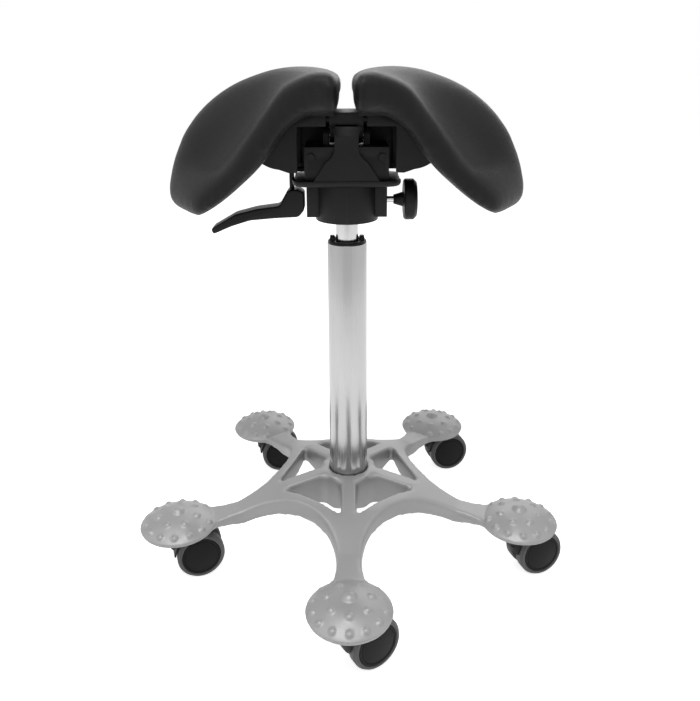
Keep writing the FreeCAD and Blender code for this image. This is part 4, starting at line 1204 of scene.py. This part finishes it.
def corner_hull(cushion, top, back):
    """The hull of a cushion's lower front corner, which evens the hollow beside it."""
    take(cushion)
    bpy.ops.object.duplicate()
    hull = bpy.context.object
    edit(hull)
    pick_points(hull, lambda at: at.z > top or at.y > back)
    bpy.ops.mesh.delete(type="VERT")
    bpy.ops.mesh.select_all(action="SELECT")
    bpy.ops.mesh.convex_hull()
    deselect()
    return hull


def swell(cushion, reach):
    """Blows a cushion up a little with cloth, and keeps each point within reach of where it was."""
    before = [vertex.co.copy() for vertex in cushion.data.vertices]
    take(cushion)
    cloth = cushion.modifiers.new("Cloth", "CLOTH")
    cloth.settings.use_pressure = True
    cloth.settings.uniform_pressure_force = 4
    cloth.settings.effector_weights.gravity = 0
    cloth.settings.tension_stiffness = 25
    cloth.settings.compression_stiffness = 25
    cloth.settings.bending_stiffness = 8
    for step in range(CLOTH_FRAMES):
        bpy.context.scene.frame_set(step + 1)
    bpy.ops.object.modifier_apply(modifier=cloth.name)
    bpy.context.scene.frame_set(1)
    for vertex, start in zip(cushion.data.vertices, before):
        moved = vertex.co - start
        if moved.length > reach:
            vertex.co = start + moved * (reach / moved.length)


class StoolCushions(bpy.types.Operator):
    """Pads the two seat halves in leather"""

    bl_idname = "stool.cushions"
    bl_label = "Cushions"

    def execute(self, context):
        sizes = context.scene.stool_sizes
        for side in SIDES:
            cushion = copied("seat_pad_" + side, "cushion_" + side)
            modify(cushion, "REMESH", mode="VOXEL", voxel_size=sizes.cushion_voxel)
            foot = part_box("seat_pad_" + side)[0].z
            join([cushion, corner_hull(cushion, foot + sizes.tip_height, sizes.tip_back)])
            modify(cushion, "REMESH", mode="VOXEL", voxel_size=sizes.cushion_voxel)
            modify(cushion, "SMOOTH", factor=0.5, iterations=4)
            swell(cushion, sizes.cushion_swell)
            for share, rounds in END_ROUNDS:
                soften(cushion, lambda at: at.z < foot + share * SIDE_DROP, rounds)
            modify(cushion, "SMOOTH", factor=0.5, iterations=5)
            modify(cushion, "SUBSURF", levels=1, render_levels=1)
            smooth(cushion, 80)
            leather = finish("Seat leather")
            seat(cushion, leather, "black_leather", "seat_" + side, "seat_pad_" + side)
        return {"FINISHED"}


class StoolPanel(bpy.types.Panel):
    """Lists the stool's pieces, with their sizes and colours"""

    bl_idname = "STOOL_PT_pieces"
    bl_label = "Saddle stool"
    bl_space_type = "VIEW_3D"
    bl_region_type = "UI"
    bl_category = "Stool"

    def draw(self, context):
        for group in (context.scene.stool_sizes, context.scene.stool_colours):
            column = self.layout.column()
            for name in group.__annotations__:
                column.prop(group, name)
        for operator in OPERATORS:
            self.layout.operator(operator.bl_idname)


GROUPS = (StoolSizes, StoolColours, StoolStage)
OPERATORS = (
    StoolStageOperator,
    StoolCasting,
    StoolColumn,
    StoolMechanism,
    StoolLever,
    StoolKnob,
    StoolUnderframe,
    StoolCastors,
    StoolCushions,
)


def register():
    """Registers the classes and hangs the property groups on the scene."""
    for group in GROUPS + OPERATORS + (StoolPanel,):
        bpy.utils.register_class(group)
    bpy.types.Scene.stool_sizes = PointerProperty(type=StoolSizes)
    bpy.types.Scene.stool_colours = PointerProperty(type=StoolColours)
    bpy.types.Scene.stool_stage = PointerProperty(type=StoolStage)


def unregister():
    """Takes the property groups and the classes away."""
    del bpy.types.Scene.stool_stage
    del bpy.types.Scene.stool_colours
    del bpy.types.Scene.stool_sizes
    for group in reversed(GROUPS + OPERATORS + (StoolPanel,)):
        bpy.utils.unregister_class(group)


def main():
    """Makes every piece in order."""
    register()
    bpy.ops.stool.stage()
    bpy.ops.stool.casting()
    bpy.ops.stool.column()
    bpy.ops.stool.mechanism()
    bpy.ops.stool.lever()
    bpy.ops.stool.knob()
    bpy.ops.stool.underframe()
    bpy.ops.stool.castors()
    bpy.ops.stool.cushions()


if __name__ == "__main__":
    main()
